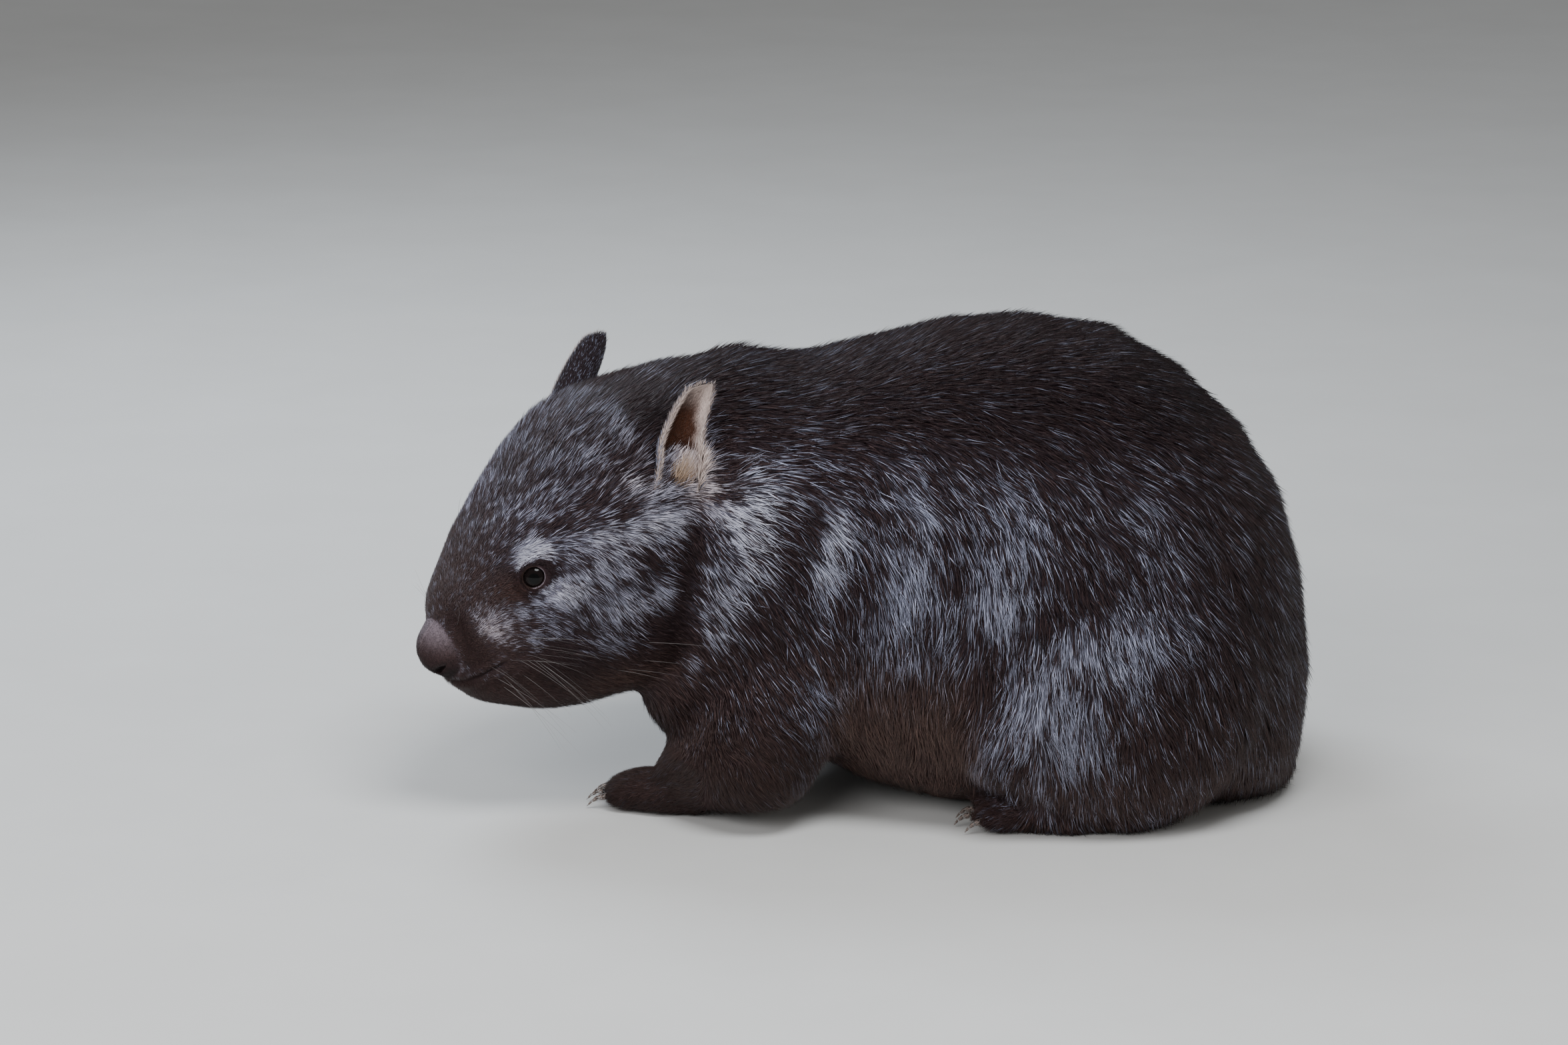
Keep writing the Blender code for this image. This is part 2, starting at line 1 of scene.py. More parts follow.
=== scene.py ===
"""Visual model of a southern hairy-nosed wombat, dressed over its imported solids.

Row frame: metres, +Z up, floor z = 0, the body faces -X and its left side is -Y.
"""
import math

import bmesh
import bpy
import numpy as np
from mathutils import Matrix, Vector
from mathutils.bvhtree import BVHTree


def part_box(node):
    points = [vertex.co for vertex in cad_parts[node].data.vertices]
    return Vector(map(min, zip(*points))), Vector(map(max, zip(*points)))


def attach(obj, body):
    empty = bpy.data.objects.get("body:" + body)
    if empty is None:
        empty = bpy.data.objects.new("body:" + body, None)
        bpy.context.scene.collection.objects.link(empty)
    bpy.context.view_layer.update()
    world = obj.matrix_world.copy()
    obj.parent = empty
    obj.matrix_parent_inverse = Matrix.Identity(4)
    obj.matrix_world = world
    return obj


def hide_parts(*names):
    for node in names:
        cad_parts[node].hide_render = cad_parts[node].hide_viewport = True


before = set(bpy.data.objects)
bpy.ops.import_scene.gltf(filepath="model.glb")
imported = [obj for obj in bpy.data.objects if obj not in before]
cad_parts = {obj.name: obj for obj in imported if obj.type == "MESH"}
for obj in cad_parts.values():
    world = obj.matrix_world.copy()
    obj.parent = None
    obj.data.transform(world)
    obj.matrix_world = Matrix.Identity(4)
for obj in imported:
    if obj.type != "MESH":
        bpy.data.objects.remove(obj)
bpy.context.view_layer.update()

SIDES = ("left", "right")
LIMBS = ("front_leg_", "hind_leg_", "front_foot_", "hind_foot_")
FLESH = ["head", "neck", "torso", "tail", "nose"] + [limb + side for side in SIDES for limb in LIMBS]
X, Y, Z = range(3)

# ---- frames
# The head's frame: origin between the ear roots, x to the nose, y to its left, z to its crown.
HEAD_YAW = math.radians(26)
HEAD_PITCH = math.radians(18)
EYE_PLACE = Vector((0.1041, 0.0465, 0.0104))
EYE_GAZE = Vector((0.42, 0.88, 0.16)).normalized()
LID_WAY = Vector((1, 0, -0.18))
EYE_RADIUS = 0.0089
HEAD_TURN = (Matrix.Rotation(HEAD_YAW + math.pi, 4, "Z") @ Matrix.Rotation(HEAD_PITCH, 4, "Y")).to_3x3()
# Marks on the body were measured with the head's origin at this place.
HEAD_ORIGIN_MEASURED = Vector((-0.0694, -0.0207, 0.173))


def box_centre(node):
    low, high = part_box(node)
    return (low + high) / 2


HEAD_ORIGIN = box_centre("eye_left") - HEAD_TURN @ EYE_PLACE
SHIFT = HEAD_ORIGIN - HEAD_ORIGIN_MEASURED
TURN = np.array(HEAD_TURN)
ORIGIN = np.array(HEAD_ORIGIN)
OFFSET = np.array(SHIFT)


def to_head(points):
    """Row-frame points as an array in the head's frame."""
    return (points - ORIGIN) @ TURN


def from_head(points):
    return np.asarray(points) @ TURN.T + ORIGIN


def side_sign(side):
    return 1 if side == "left" else -1


def on_side(place, side):
    return Vector((place[0], place[1] * side_sign(side), place[2]))


def eye_centre(side):
    return np.array(on_side(EYE_PLACE, side))


def folded(points):
    """Points with the right side laid over the left."""
    return np.column_stack((points[:, 0], np.abs(points[:, 1]), points[:, 2]))


# ---- number helpers
def ease(low, high, value):
    """0 at low, 1 at high, smooth between; low may be the larger."""
    t = np.clip((value - low) / (high - low), 0, 1)
    return t * t * (3 - 2 * t)


def bell(value, centre, width):
    """1 at the centre, falling away over the width to both sides."""
    return np.exp(-((value - centre) / width) ** 2)


def toward(a, b, t):
    return a + (b - a) * t


def blend(a, b, t):
    """Rows or one colour, a, mixed with rows or one colour, b."""
    t = np.asarray(t)
    if t.ndim == 1:
        t = t[:, None]
    return np.multiply(a, 1 - t) + np.multiply(b, t)


def unit(vectors):
    return vectors / np.maximum(np.linalg.norm(vectors, axis=-1, keepdims=True), 1e-12)


def laid(flow, up, share=1.0):
    """Unit vectors along flow, less that share of what stands off the surface."""
    return unit(flow - up * ((flow * up).sum(1) * share)[:, None])


def ripple(points, scale, seed, waves=12):
    """A smooth random field of about unit spread, with features of the given size."""
    rng = np.random.default_rng(seed)
    way = unit(rng.normal(size=(waves, 3))) * rng.uniform(0.6, 1.6, (waves, 1)) * math.tau / scale
    phase = rng.uniform(0, math.tau, waves)
    return np.sin(points @ way.T + phase).sum(1) / math.sqrt(waves / 2)


def ripples(points, table):
    return sum(size * ripple(points, scale, seed) for size, scale, seed in table)


def blob(points, centre, radii):
    """A soft spot: 1 at its centre, falling away over its radii, both in millimetres."""
    away = (points * 1000 - np.array(centre)) / np.array(radii)
    return np.exp(-(away ** 2).sum(1))


def line_distance(points, line):
    """Distance in millimetres from a bent line of points given in millimetres."""
    best = np.full(len(points), 1e9)
    spots = points * 1000
    for start, end in zip(line, line[1:]):
        start, end = np.array(start, float), np.array(end, float)
        run = end - start
        t = np.clip((spots - start) @ run / (run @ run), 0, 1)
        best = np.minimum(best, np.linalg.norm(spots - start - t[:, None] * run, axis=1))
    return best


def table_value(value, table):
    """Straight between the table's rows of place and value."""
    return np.interp(value, *zip(*table))


# ---- mesh helpers
def link(obj):
    bpy.context.scene.collection.objects.link(obj)
    return obj


def tree_of(mesh):
    return BVHTree.FromPolygons([v.co for v in mesh.vertices], [p.vertices for p in mesh.polygons])


def nearest(tree, points):
    """For each point, the nearest place of a surface and its normal there."""
    return [tree.find_nearest(Vector(point))[:2] for point in points]


def shade_smooth(mesh):
    mesh.polygons.foreach_set("use_smooth", [True] * len(mesh.polygons))
    mesh.update()


def face_outward(mesh):
    """Turn the faces of a closed mesh outward."""
    bm = bmesh.new()
    bm.from_mesh(mesh)
    bmesh.ops.recalc_face_normals(bm, faces=bm.faces)
    bm.to_mesh(mesh)
    bm.free()


def mesh_object(name, verts, faces):
    mesh = bpy.data.meshes.new(name)
    mesh.from_pydata([tuple(v) for v in verts], [], faces)
    shade_smooth(mesh)
    return link(bpy.data.objects.new(name, mesh))


def triangles_object(name, verts, triangles):
    """A mesh of triangles from arrays."""
    mesh = bpy.data.meshes.new(name)
    count = len(triangles)
    mesh.vertices.add(len(verts))
    mesh.vertices.foreach_set("co", np.asarray(verts, np.float32).ravel())
    mesh.loops.add(count * 3)
    mesh.loops.foreach_set("vertex_index", np.asarray(triangles, np.int32).ravel())
    mesh.polygons.add(count)
    mesh.polygons.foreach_set("loop_start", np.arange(0, count * 3, 3, dtype=np.int32))
    mesh.polygons.foreach_set("use_smooth", np.ones(count, bool))
    mesh.update(calc_edges=True)
    return link(bpy.data.objects.new(name, mesh))


def read(items, key, width, kind=np.float32):
    """A property of vertices, edges or triangles as the rows of an array."""
    out = np.empty(len(items) * width, kind)
    items.foreach_get(key, out)
    return out.reshape(-1, width)


def positions(mesh):
    return read(mesh.vertices, "co", 3).astype(float)


def normals(mesh):
    return read(mesh.vertices, "normal", 3).astype(float)


def set_positions(mesh, points):
    mesh.vertices.foreach_set("co", np.asarray(points, np.float32).ravel())
    mesh.update()


def edge_pairs(mesh):
    return read(mesh.edges, "vertices", 2, np.int32)


def relax(points, edges, rounds, weight=0.5):
    """Laplacian smoothing of an array of any width."""
    count = len(points)
    a, b = edges[:, 0], edges[:, 1]
    degree = np.maximum(np.bincount(a, minlength=count) + np.bincount(b, minlength=count), 1)
    rows = points.reshape(count, -1).T.copy()
    for _ in range(rounds):
        for row in rows:
            mean = (np.bincount(a, row[b], count) + np.bincount(b, row[a], count)) / degree
            row += (mean - row) * weight
    return np.ascontiguousarray(rows.T).reshape(points.shape)


def smoothed(obj, rounds):
    """Relax an object's mesh. Returns its points."""
    points = relax(positions(obj.data), edge_pairs(obj.data), rounds)
    set_positions(obj.data, points)
    return points


def set_tint(mesh, colours):
    layer = mesh.color_attributes.new("tint", "FLOAT_COLOR", "POINT")
    full = np.ones((len(colours), 4), np.float32)
    full[:, :3] = colours
    layer.data.foreach_set("color", full.ravel())


def dress(obj, material, slot, *nodes):
    """Give a piece its material, and set it on the body in place of its nodes; the slot is not used."""
    obj.data.materials.clear()
    obj.data.materials.append(material)
    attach(obj, "root")
    if nodes:
        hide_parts(*nodes)


# ---- the coat's colours and marks
DARK = (0.0195, 0.0115, 0.0155)
BROWN = (0.072, 0.042, 0.038)
# Silver tips, with a blue cast that is partly a painted reflection of cool light.
SILVER_AND_SHEEN = np.array([0.7, 0.74, 0.99])
WHITE = (0.9, 0.9, 1.0)
CREAM = (0.93, 0.8, 0.82)
BUFF = (0.3, 0.19, 0.15)

# Shares of each colour, in layers: a weight, then ramps (axis, start, full, in metres)
# or spots (centre, radii, in millimetres) that it is multiplied by.
BODY_LAYERS = {
    # Of the silver rows, the strip along the top of the neck and shoulders is partly a painted highlight
    # where the ridge catches light, and the silver taken away low at the front is painted shade.
    "silver": (
        (0.07,), (0.17, (Z, 0.24, 0.195), (X, -0.03, 0.03)), (-0.08, (X, 0.2, 0.25)),
        (0.1, (X, -0.03, 0.0), (X, 0.05, 0.0)), (0.22, (Z, 0.246, 0.256), (X, 0.08, 0.0)),
        (-0.08, (Z, 0.11, 0.06), (X, 0.1, 0.05))),
    "buff": (
        (0.9, (Z, 0.135, 0.07), (X, 0.01, 0.035), (X, 0.125, 0.095)),
        (0.45, (Z, 0.085, 0.04), (X, 0.03, 0.0)), (0.25, (Z, 0.07, 0.03), (X, 0.12, 0.15))),
    # Of the dark rows, the darkening in the lowest 2 cm by the floor and low at the front, under the chest
    # and on the forelegs, is painted shade.
    "dark": (
        (0.6, (Z, 0.02, 0.004)), (0.72, (Z, 0.205, 0.245)), (0.25, (X, 0.2, 0.26)),
        (0.6, (Z, 0.09, 0.05), (X, 0.03, 0.0))),
    "brown": ((0.7, (Z, 0.13, 0.06)), (0.5, ((0, 124, 112), (40, 60, 26))), (0.3, (X, 0.21, 0.26))),
}
FACE_LAYERS = {
    "silver": (
        (0.28,), (-0.07, (Z, 0.04, 0.07)), (-0.12, (X, 0.095, 0.125)), (-0.24, (Z, -0.034, -0.05))),
    "buff": (
        (0.8, ((84, 58, -66), (28, 40, 13))), (0.2, (X, 0.11, 0.14)),
        (0.3, ((4, 74, 29), (12, 18, 12))), (0.25, (Z, -0.045, -0.07))),
    # Of the dark rows, the spots in the hollow before the ear and in the valley beside the nose pad are
    # painted shade.
    "dark": (
        (0.6, ((14, 50, 66), (12, 20, 11))), (0.5, ((148, 31, -17), (5, 14, 14))),
        (0.35, (Z, 0.035, 0.06)), (0.5, (X, 0.105, 0.13), (Z, -0.015, 0.005)),
        (0.6, (Z, -0.03, -0.046), (X, 0.07, 0.1))),
    "brown": ((0.6, (Z, -0.03, -0.055)), (0.6, (X, 0.105, 0.135))),
}
CREAM_LAYERS = (
    (1.0, ((8, 74, 28), (12, 20, 9))), (0.8, ((139, 39, -12), (12, 16, 12))),
    (0.5, ((40, 64, 45), (16, 24, 16))),
)

# Lighter spots of the coat, partly its own silver and white tips and partly painted sheen where it faces
# the light, in millimetres: x, z, reach along x and z, share of silver, of white.
BODY_MARKS_AND_SHEEN = (
    (-27, 209, 12, 15, 0.22, 0.3), (-33, 186, 14, 9, 0.45, 0.9), (-15, 197, 16, 10, 0.25, 0.6),
    (-23, 172, 12, 19, 0.44, 1.0), (-38, 143, 12, 13, 0.38, 0.6), (-43, 122, 11, 12, 0.34, 0.4),
    (-59, 99, 9, 6, 0.3, 0.2), (24, 181, 8, 13, 0.6, 0.9), (18, 161, 9, 8, 0.54, 0.7),
    (65, 208, 10, 20, 0.2, 0.0), (74, 184, 10, 26, 0.34, 0.2), (65, 151, 15, 24, 0.32, 0.1),
    (63, 126, 13, 18, 0.22, 0.0), (121, 188, 15, 24, 0.26, 0.0), (125, 157, 13, 23, 0.4, 0.3),
    (108, 144, 15, 18, 0.26, 0.1), (162, 115, 25, 18, 0.4, 0.3), (144, 84, 21, 23, 0.42, 0.3),
    (192, 126, 15, 18, 0.42, 0.2), (166, 67, 21, 14, 0.38, 0.2), (107, 59, 6, 21, 0.28, 0.1),
    (11, 89, 15, 12, 0.2, 0.0), (-52, 54, 16, 10, 0.16, 0.0), (232, 132, 16, 20, 0.1, 0.0),
)
# Darker spots of the body, partly its darker hair and partly painted shade in its folds: x, z, reach along
# x and z, share of silver taken away.
BODY_SHADES = (
    (-38, 235, 12, 26, 0.25), (9, 190, 5, 13, 0.4), (5, 167, 6, 15, 0.45), (9, 117, 44, 24, 0.1),
    (219, 58, 42, 32, 0.3), (262, 140, 16, 60, 0.1),
)
# The same for the head, in its own frame and with y before z.
FACE_MARKS_AND_SHEEN = (
    (96, 61, 2, 14, 7.5, 0.9, 1.0), (121, 49, -7, 10, 6, 0.35, 0.2), (68, 71, 15, 17, 10, 0.44, 0.6),
    (70, 74, -16, 15, 9, 0.42, 0.4), (49, 79, -16, 8, 8, 0.4, 0.3), (68, 68, 25, 12, 4, 0.26, 0.6),
    (44, 76, 21, 12, 5, 0.95, 1.0), (27, 78, 17, 8, 8, 0.5, 0.7), (34, 72, 36, 8, 9, 0.4, 0.4),
    (54, 49, 62, 7, 5, 0.36, 0.4), (34, 50, 66, 7, 8, 0.34, 0.4), (45, 67, 43, 5, 6, 0.5, 0.7),
    (8, 74, 28, 9, 6, 0.95, 1.0), (139, 39, -10, 8, 7, 0.6, 0.5), (121, 50, -22, 9, 7, 0.3, 0.1),
    (55, 12, 75, 18, 12, 0.14, 0.0), (76, 13, 63, 14, 10, 0.08, 0.0), (85, 68, -36, 8, 11, 0.2, 0.0),
)
# Darker spots of the head, in its frame with y before z; those in the hollow before the ear and in the
# valley beside the nose pad are painted shade.
FACE_SHADES = (
    (14, 50, 66, 12, 11, 0.5), (10, 30, 76, 14, 8, 0.25), (50, 77, 10, 6, 8, 0.62),
    (59, 77, -31, 14, 10, 0.28), (148, 31, -17, 5, 14, 0.5), (119, 46, 8, 7, 6, 0.6),
    (112, 52, -34, 18, 9, 0.3),
)
# Where the spots of a table lie along y, and how far they reach along it.
BODY_SPOT_SIDE, BODY_SPOT_DEPTH, FACE_SPOT_DEPTH = 120, 80, 24

# Dark lines with their widths, in millimetres; those along the thigh's crease and the cheek's crease are
# painted shade.
THIGH_CREASE_SHADE = ((180, 139, 161), (142, 143, 141), (116, 143, 115), (103, 141, 90), (99, 130, 53))
TEMPLE_STRIPE = ((96, 48, 32), (77, 57, 40), (59, 63, 42))
CHEEK_CREASE_SHADE = ((20, 79, 11), (37, 81, -18), (51, 78, -43), (55, 73, -56))
GROOVE_WIDTH, STRIPE_WIDTH, CREASE_WIDTH = 8, 3.5, 7

LIP_PLACE = (0.148, 0.0, -0.05)
EAR_CUP_PLACE, EAR_CUP_RADII = (8, 68, 44), (9, 13, 9)
EYE_CORNER, EYE_CORNER_RADII = (120, 45, 7), (8, 12, 6)
# The dark ring round an eye and the pale patch over it, in millimetres forward of and above the eye.
RING_MIDDLE, RING_RADII = (-0.8, 1.3), (11.8, 7.6)
BROW_HEIGHT, BROW_BEND, BROW_OFF, BROW_WIDTH = 11.5, 0.03, 1.8, 4.6
LEAST_SILVER, MOST_SILVER, PAW_SILVER = 0.1, 0.68, 0.12
SILVER_RIPPLES = ((0.16, 0.03, 11), (0.22, 0.011, 12))

# ---- the coat's lie and length
NOSE_TIP = (0.165, 0.0, -0.02)
NECK_LEAN = math.radians(28)
FAR_FOREFOOT_BACK, FAR_HIND_FOOT_BACK = 0.066, 0.012
CUP_WAY, TOE_WAY = (-0.75, 0.35, 0.62), (-0.9, 0.0, -0.35)
# Steepness of the body's hair in degrees along x, on the back and on the belly.
BACK_SLOPES = ((-0.05, 10), (0.05, 32), (0.15, 42), (0.25, 62))
BELLY_SLOPES = (
    (-0.05, 30), (-0.01, 55), (0.03, 68), (0.08, 92), (0.12, 100), (0.17, 78), (0.21, 72), (0.25, 78))
BACK_HEIGHT, BELLY_HEIGHT = 0.265, 0.11
SWAY_RIPPLES = ((0.1, 0.045, 3), (0.08, 0.016, 4), (0.08, 0.006, 5))
# Lengths of the hair, along x on the face.
BODY_LENGTH, PAW_LENGTH = 0.0195, 0.0058
FACE_LENGTHS = (
    (0.02, 0.014), (0.06, 0.0115), (0.09, 0.009), (0.12, 0.0062), (0.14, 0.0042), (0.16, 0.003))
# The skin lies under the tips by a share of the length.
DEPTH_SHARE, LEAST_DEPTH, MOST_DEPTH = 0.34, 0.0006, 0.0062


class Places:
    """Positions in the frames that the coat's rules use. Body and face are folded onto the left side."""

    def __init__(self, points):
        self.row = points
        self.measured = points - OFFSET
        self.head = to_head(points)
        self.left = self.head[:, 1] > 0
        self.face = folded(self.head)
        self.body = folded(self.measured)
        x, y, z = self.measured.T
        pitched = self.head[:, 0] * math.cos(NECK_LEAN) + self.head[:, 2] * math.sin(NECK_LEAN)
        self.is_head = ease(-0.012, 0.022, pitched) * ease(-0.14, -0.1, self.head[:, 2])
        self.is_head *= ease(0.0, -0.03, x)
        fore, hind = x - FAR_FOREFOOT_BACK * (y > 0), x - FAR_HIND_FOOT_BACK * (y > 0)
        front_paw = ease(0.05, 0.036, z) * ease(-0.036, -0.052, fore) * ease(-0.14, -0.13, x)
        hind_paw = ease(0.03, 0.022, z) * ease(0.15, 0.128, hind) * ease(0.07, 0.09, hind)
        self.is_paw = np.maximum(front_paw, hind_paw)
        self.nose = np.zeros(len(points))


def ear_cup(face):
    """1 in front of and below the ear's opening."""
    return np.clip(1.4 * blob(face, EAR_CUP_PLACE, EAR_CUP_RADII), 0, 1)


def lie(places, normal):
    """Unit vectors along which the hair lies, in the surface."""
    head, x = places.head, places.body[:, 0]
    face_down = 0.3 + 0.85 * bell(head[:, 2], 0, 0.04)
    face_down *= ease(0.048, 0.012, head[:, 2]) * ease(0.132, 0.092, head[:, 0])
    face_flow = unit(head - NOSE_TIP) @ TURN.T
    face_flow[:, 2] -= face_down
    cup_flow = np.tile(CUP_WAY, (len(head), 1))
    cup_flow[:, 1] *= np.sign(head[:, 1])
    face_flow = blend(unit(face_flow), cup_flow @ TURN.T, ear_cup(places.face))
    high, low = table_value(x, BACK_SLOPES), table_value(x, BELLY_SLOPES)
    slope = np.radians(toward(high, low, ease(BACK_HEIGHT, BELLY_HEIGHT, places.body[:, 2])))
    body_flow = np.column_stack((np.cos(slope), np.zeros(len(x)), -np.sin(slope)))
    flow = blend(body_flow, face_flow, places.is_head)
    flow = blend(flow, TOE_WAY, places.is_paw)
    sway = ripples(places.row, SWAY_RIPPLES)[:, None]
    return laid(flow + np.cross(normal, unit(flow)) * sway, normal)


def coat_length(places):
    """Hair length in metres."""
    x, _, z = places.body.T
    body = BODY_LENGTH - 0.005 * ease(0.09, 0.03, z) - 0.002 * ease(0.23, 0.26, z)
    length = toward(body, table_value(places.face[:, 0], FACE_LENGTHS), places.is_head)
    length = toward(length, PAW_LENGTH, places.is_paw)
    arm = ease(0.045, 0.0, x) * ease(0.1, 0.05, z) * (1 - places.is_head)
    return length * (1 - 0.3 * arm * (1 - places.is_paw))


def coat_depth(places):
    """How far the skin lies under the tips of the coat."""
    depth = coat_length(places) * DEPTH_SHARE - 0.0006
    return np.clip(depth, LEAST_DEPTH, MOST_DEPTH) * (1 - places.nose)


# ---- the coat's markings
def layered(points, table):
    """The sum of a table's layers at each point."""
    total = np.zeros(len(points))
    for weight, *parts in table:
        layer = np.full(len(points), weight)
        for part in parts:
            if len(part) == 2:
                layer *= blob(points, *part)
            else:
                axis, start, full = part
                layer *= ease(start, full, points[:, axis])
        total += layer
    return total


def spots(points, table, values):
    """Sums of a table's soft spots, one row for each of its last values."""
    out = np.zeros((len(points), values))
    for row in table:
        place, strength = row[:-values], np.array(row[-values:])
        if len(place) == 4:
            x, z, wide, tall = place
            spot = blob(points, (x, BODY_SPOT_SIDE, z), (wide, BODY_SPOT_DEPTH, tall))
        else:
            x, y, z, wide, tall = place
            spot = blob(points, (x, y, z), (wide, FACE_SPOT_DEPTH, tall))
        out += spot[:, None] * strength
    return out.T


def eye_plane(face):
    """Places on the face as millimetres forward of and above the eye, square to its gaze."""
    return ((face - np.array(EYE_PLACE)) @ eye_axes("left")[:, :2]).T * 1000


def eye_ring(face):
    """How far out points of the face lie from an eye, 1 at the outside of its dark ring."""
    forward, above = eye_plane(face)
    return np.hypot((forward - RING_MIDDLE[0]) / RING_RADII[0], (above - RING_MIDDLE[1]) / RING_RADII[1])


def brow_patch(face):
    """The pale patch that bows over the eye."""
    forward, above = eye_plane(face)
    bow = above - BROW_HEIGHT + BROW_BEND * (forward + 1.0) ** 2
    patch = bell(bow, BROW_OFF, BROW_WIDTH) * ease(14.0, 7.0, np.abs(forward + 2.0)) * (above > 0)
    return np.clip(1.6 * patch, 0, 1)


def markings(places):
    """Shares of silver tips, of buff, of dark, of brown, of white and of cream, each 0 to 1. Silver
    includes painted sheen on lit patches and along the top ridge; dark includes painted shade in creases
    and hollows, under the chest and by the floor, beside the coat's own dark brown.
    """
    b, f, h = places.body, places.face, places.is_head
    body = {name: layered(b, table) for name, table in BODY_LAYERS.items()}
    face = {name: layered(f, table) for name, table in FACE_LAYERS.items()}
    cup, brow, around = ear_cup(f), brow_patch(f), eye_ring(f)
    # Painted shade along the cheek's crease and, below, along the thigh's crease: less silver, more dark.
    crease_shade = bell(line_distance(f, CHEEK_CREASE_SHADE), 0, CREASE_WIDTH)
    corner = blob(f, EYE_CORNER, EYE_CORNER_RADII)
    body["silver"] -= 0.26 * bell(line_distance(b, THIGH_CREASE_SHADE), 0, GROOVE_WIDTH)
    face["silver"] -= 0.3 * bell(line_distance(f, TEMPLE_STRIPE), 0, STRIPE_WIDTH) + 0.6 * crease_shade
    face["brown"] += 0.3 * cup + 0.9 * corner
    face["dark"] = np.clip(face["dark"] + 0.7 * crease_shade, 0, 0.85)
    by_eye = (0.8 - 0.5 * corner) * ease(1.06, 0.9, around)
    by_lip = 0.5 * ease(0.024, 0.012, np.linalg.norm(f - LIP_PLACE, axis=1))
    face["dark"] = np.maximum(np.maximum(face["dark"], by_eye), by_lip)
    face["dark"] *= 1 - np.clip(cup * 1.5, 0, 1)
    silver, buff, dark, brown = (toward(body[name], face[name], h) for name in BODY_LAYERS)
    body_silver, body_white = spots(b, BODY_MARKS_AND_SHEEN, 2)
    face_silver, face_white = spots(f, FACE_MARKS_AND_SHEEN, 2)
    silver += body_silver + face_silver + 1.1 * brow * h + 1.2 * cup * h
    silver -= spots(b, BODY_SHADES, 1)[0] + spots(f, FACE_SHADES, 1)[0]
    silver *= 1 - (1 - ease(0.86, 1.04, around)) * h
    silver = toward(silver, PAW_SILVER, places.is_paw)
    silver *= 1 + ripples(places.row, SILVER_RIPPLES)
    silver = np.minimum(silver, MOST_SILVER + 0.32 * brow * h + 0.2 * cup * h)
    silver = np.maximum(silver, LEAST_SILVER * (1 - h))
    white = body_white + face_white + (1.1 * brow + 0.9 * cup) * h
    cream = cup * h + layered(f, CREAM_LAYERS)
    return [np.clip(share, 0, 1) for share in (silver, buff, dark, brown, white, cream)]


def skin_tint(places):
    silver, buff, dark, brown = markings(places)[:4]
    under = blend(DARK, BROWN, 0.2 + 0.5 * np.maximum(buff, brown))
    over = blend(SILVER_AND_SHEEN, BUFF, buff)
    return blend(under, over, 0.22 * silver * (1 - dark) * ease(1.2, 1.8, eye_ring(places.face)))


# ---- the skin
CAD_JOIN = 0.000002
SKIN_SWELL = 0.0005
SKIN_VOXEL = 0.0023
SKIN_LOWEST = 0.0004
FINE_HEAD_FROM, FINE_HEAD_ABOVE = 0.082, 0.03
FINE_EYE_REACH = 0.024
# The nape's place and size on the body, in millimetres, its rise and its smoothing.
NAPE, NAPE_RADII = (-61, 0, 249), (20, 45, 20)
NAPE_SMOOTH, NAPE_SMOOTH_RADII = (-45, 0, 252), (45, 60, 26)
NAPE_RISE = 0.0045
NAPE_ROUNDS = 30
CARUNCLE, CARUNCLE_RADII = (121, 45, 6), (7, 12, 5)
CARUNCLE_TINT = (0.085, 0.042, 0.033)
RIM_TINT = (0.024, 0.014, 0.012)
WET_TINT = (0.2, 0.165, 0.19)
# Painted shade in the nostrils, the cleft under the nose and the mouth's line.
HOLLOW_SHADE_TINT = (0.012, 0.008, 0.008)


def node_copy(names):
    """The nodes' shapes in one new mesh, with shared corners joined."""
    bm = bmesh.new()
    for name in names:
        bm.from_mesh(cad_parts[name].data)
    bmesh.ops.remove_doubles(bm, verts=bm.verts, dist=CAD_JOIN)
    bmesh.ops.recalc_face_normals(bm, faces=bm.faces)
    mesh = bpy.data.meshes.new("flesh")
    bm.to_mesh(mesh)
    bm.free()
    return link(bpy.data.objects.new("flesh", mesh))


def melted_skin():
    """The flesh nodes as one skin, their gaps closed."""
    flesh = node_copy(FLESH)
    swell = flesh.modifiers.new("swell", "DISPLACE")
    swell.strength = SKIN_SWELL
    swell.mid_level = 0
    melt = flesh.modifiers.new("melt", "REMESH")
    melt.mode = "VOXEL"
    melt.voxel_size = SKIN_VOXEL
    melt.use_smooth_shade = True
    evaluated = flesh.evaluated_get(bpy.context.evaluated_depsgraph_get())
    mesh = bpy.data.meshes.new_from_object(evaluated)
    flesh.modifiers.clear()
    flesh.data = mesh
    return flesh


def refine(obj, wanted):
    """Split the edges whose ends are both wanted, and the faces between them."""
    bm = bmesh.new()
    bm.from_mesh(obj.data)
    bm.verts.ensure_lookup_table()
    chosen = [edge for edge in bm.edges if wanted[edge.verts[0].index] and wanted[edge.verts[1].index]]
    bmesh.ops.subdivide_edges(bm, edges=chosen, cuts=1, use_grid_fill=True, smooth=0.0)
    bm.to_mesh(obj.data)
    bm.free()
    shade_smooth(obj.data)


def nose_share(points):
    """1 on the nose pad, 0 off it, from which solid a point is nearer to."""
    x, y, z = to_head(points).T
    share = np.zeros(len(points))
    near = np.where((x > 0.125) & (np.abs(y) < 0.045) & (np.abs(z + 0.026) < 0.04))[0]
    gaps = []
    for name in ("head", "nose"):
        tree = tree_of(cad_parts[name].data)
        gaps.append(np.array([tree.find_nearest(Vector(point))[3] for point in points[near]]))
    share[near] = ease(-0.001, 0.0014, gaps[0] - gaps[1])
    return share


def eye_axes(side):
    """Columns: forward along the lids, up across them, and the gaze."""
    gaze = on_side(EYE_GAZE, side)
    forward = (LID_WAY - gaze * gaze.dot(LID_WAY)).normalized()
    up = gaze.cross(forward)
    if up.z < 0:
        up = -up
    return np.array([forward, up, gaze]).T


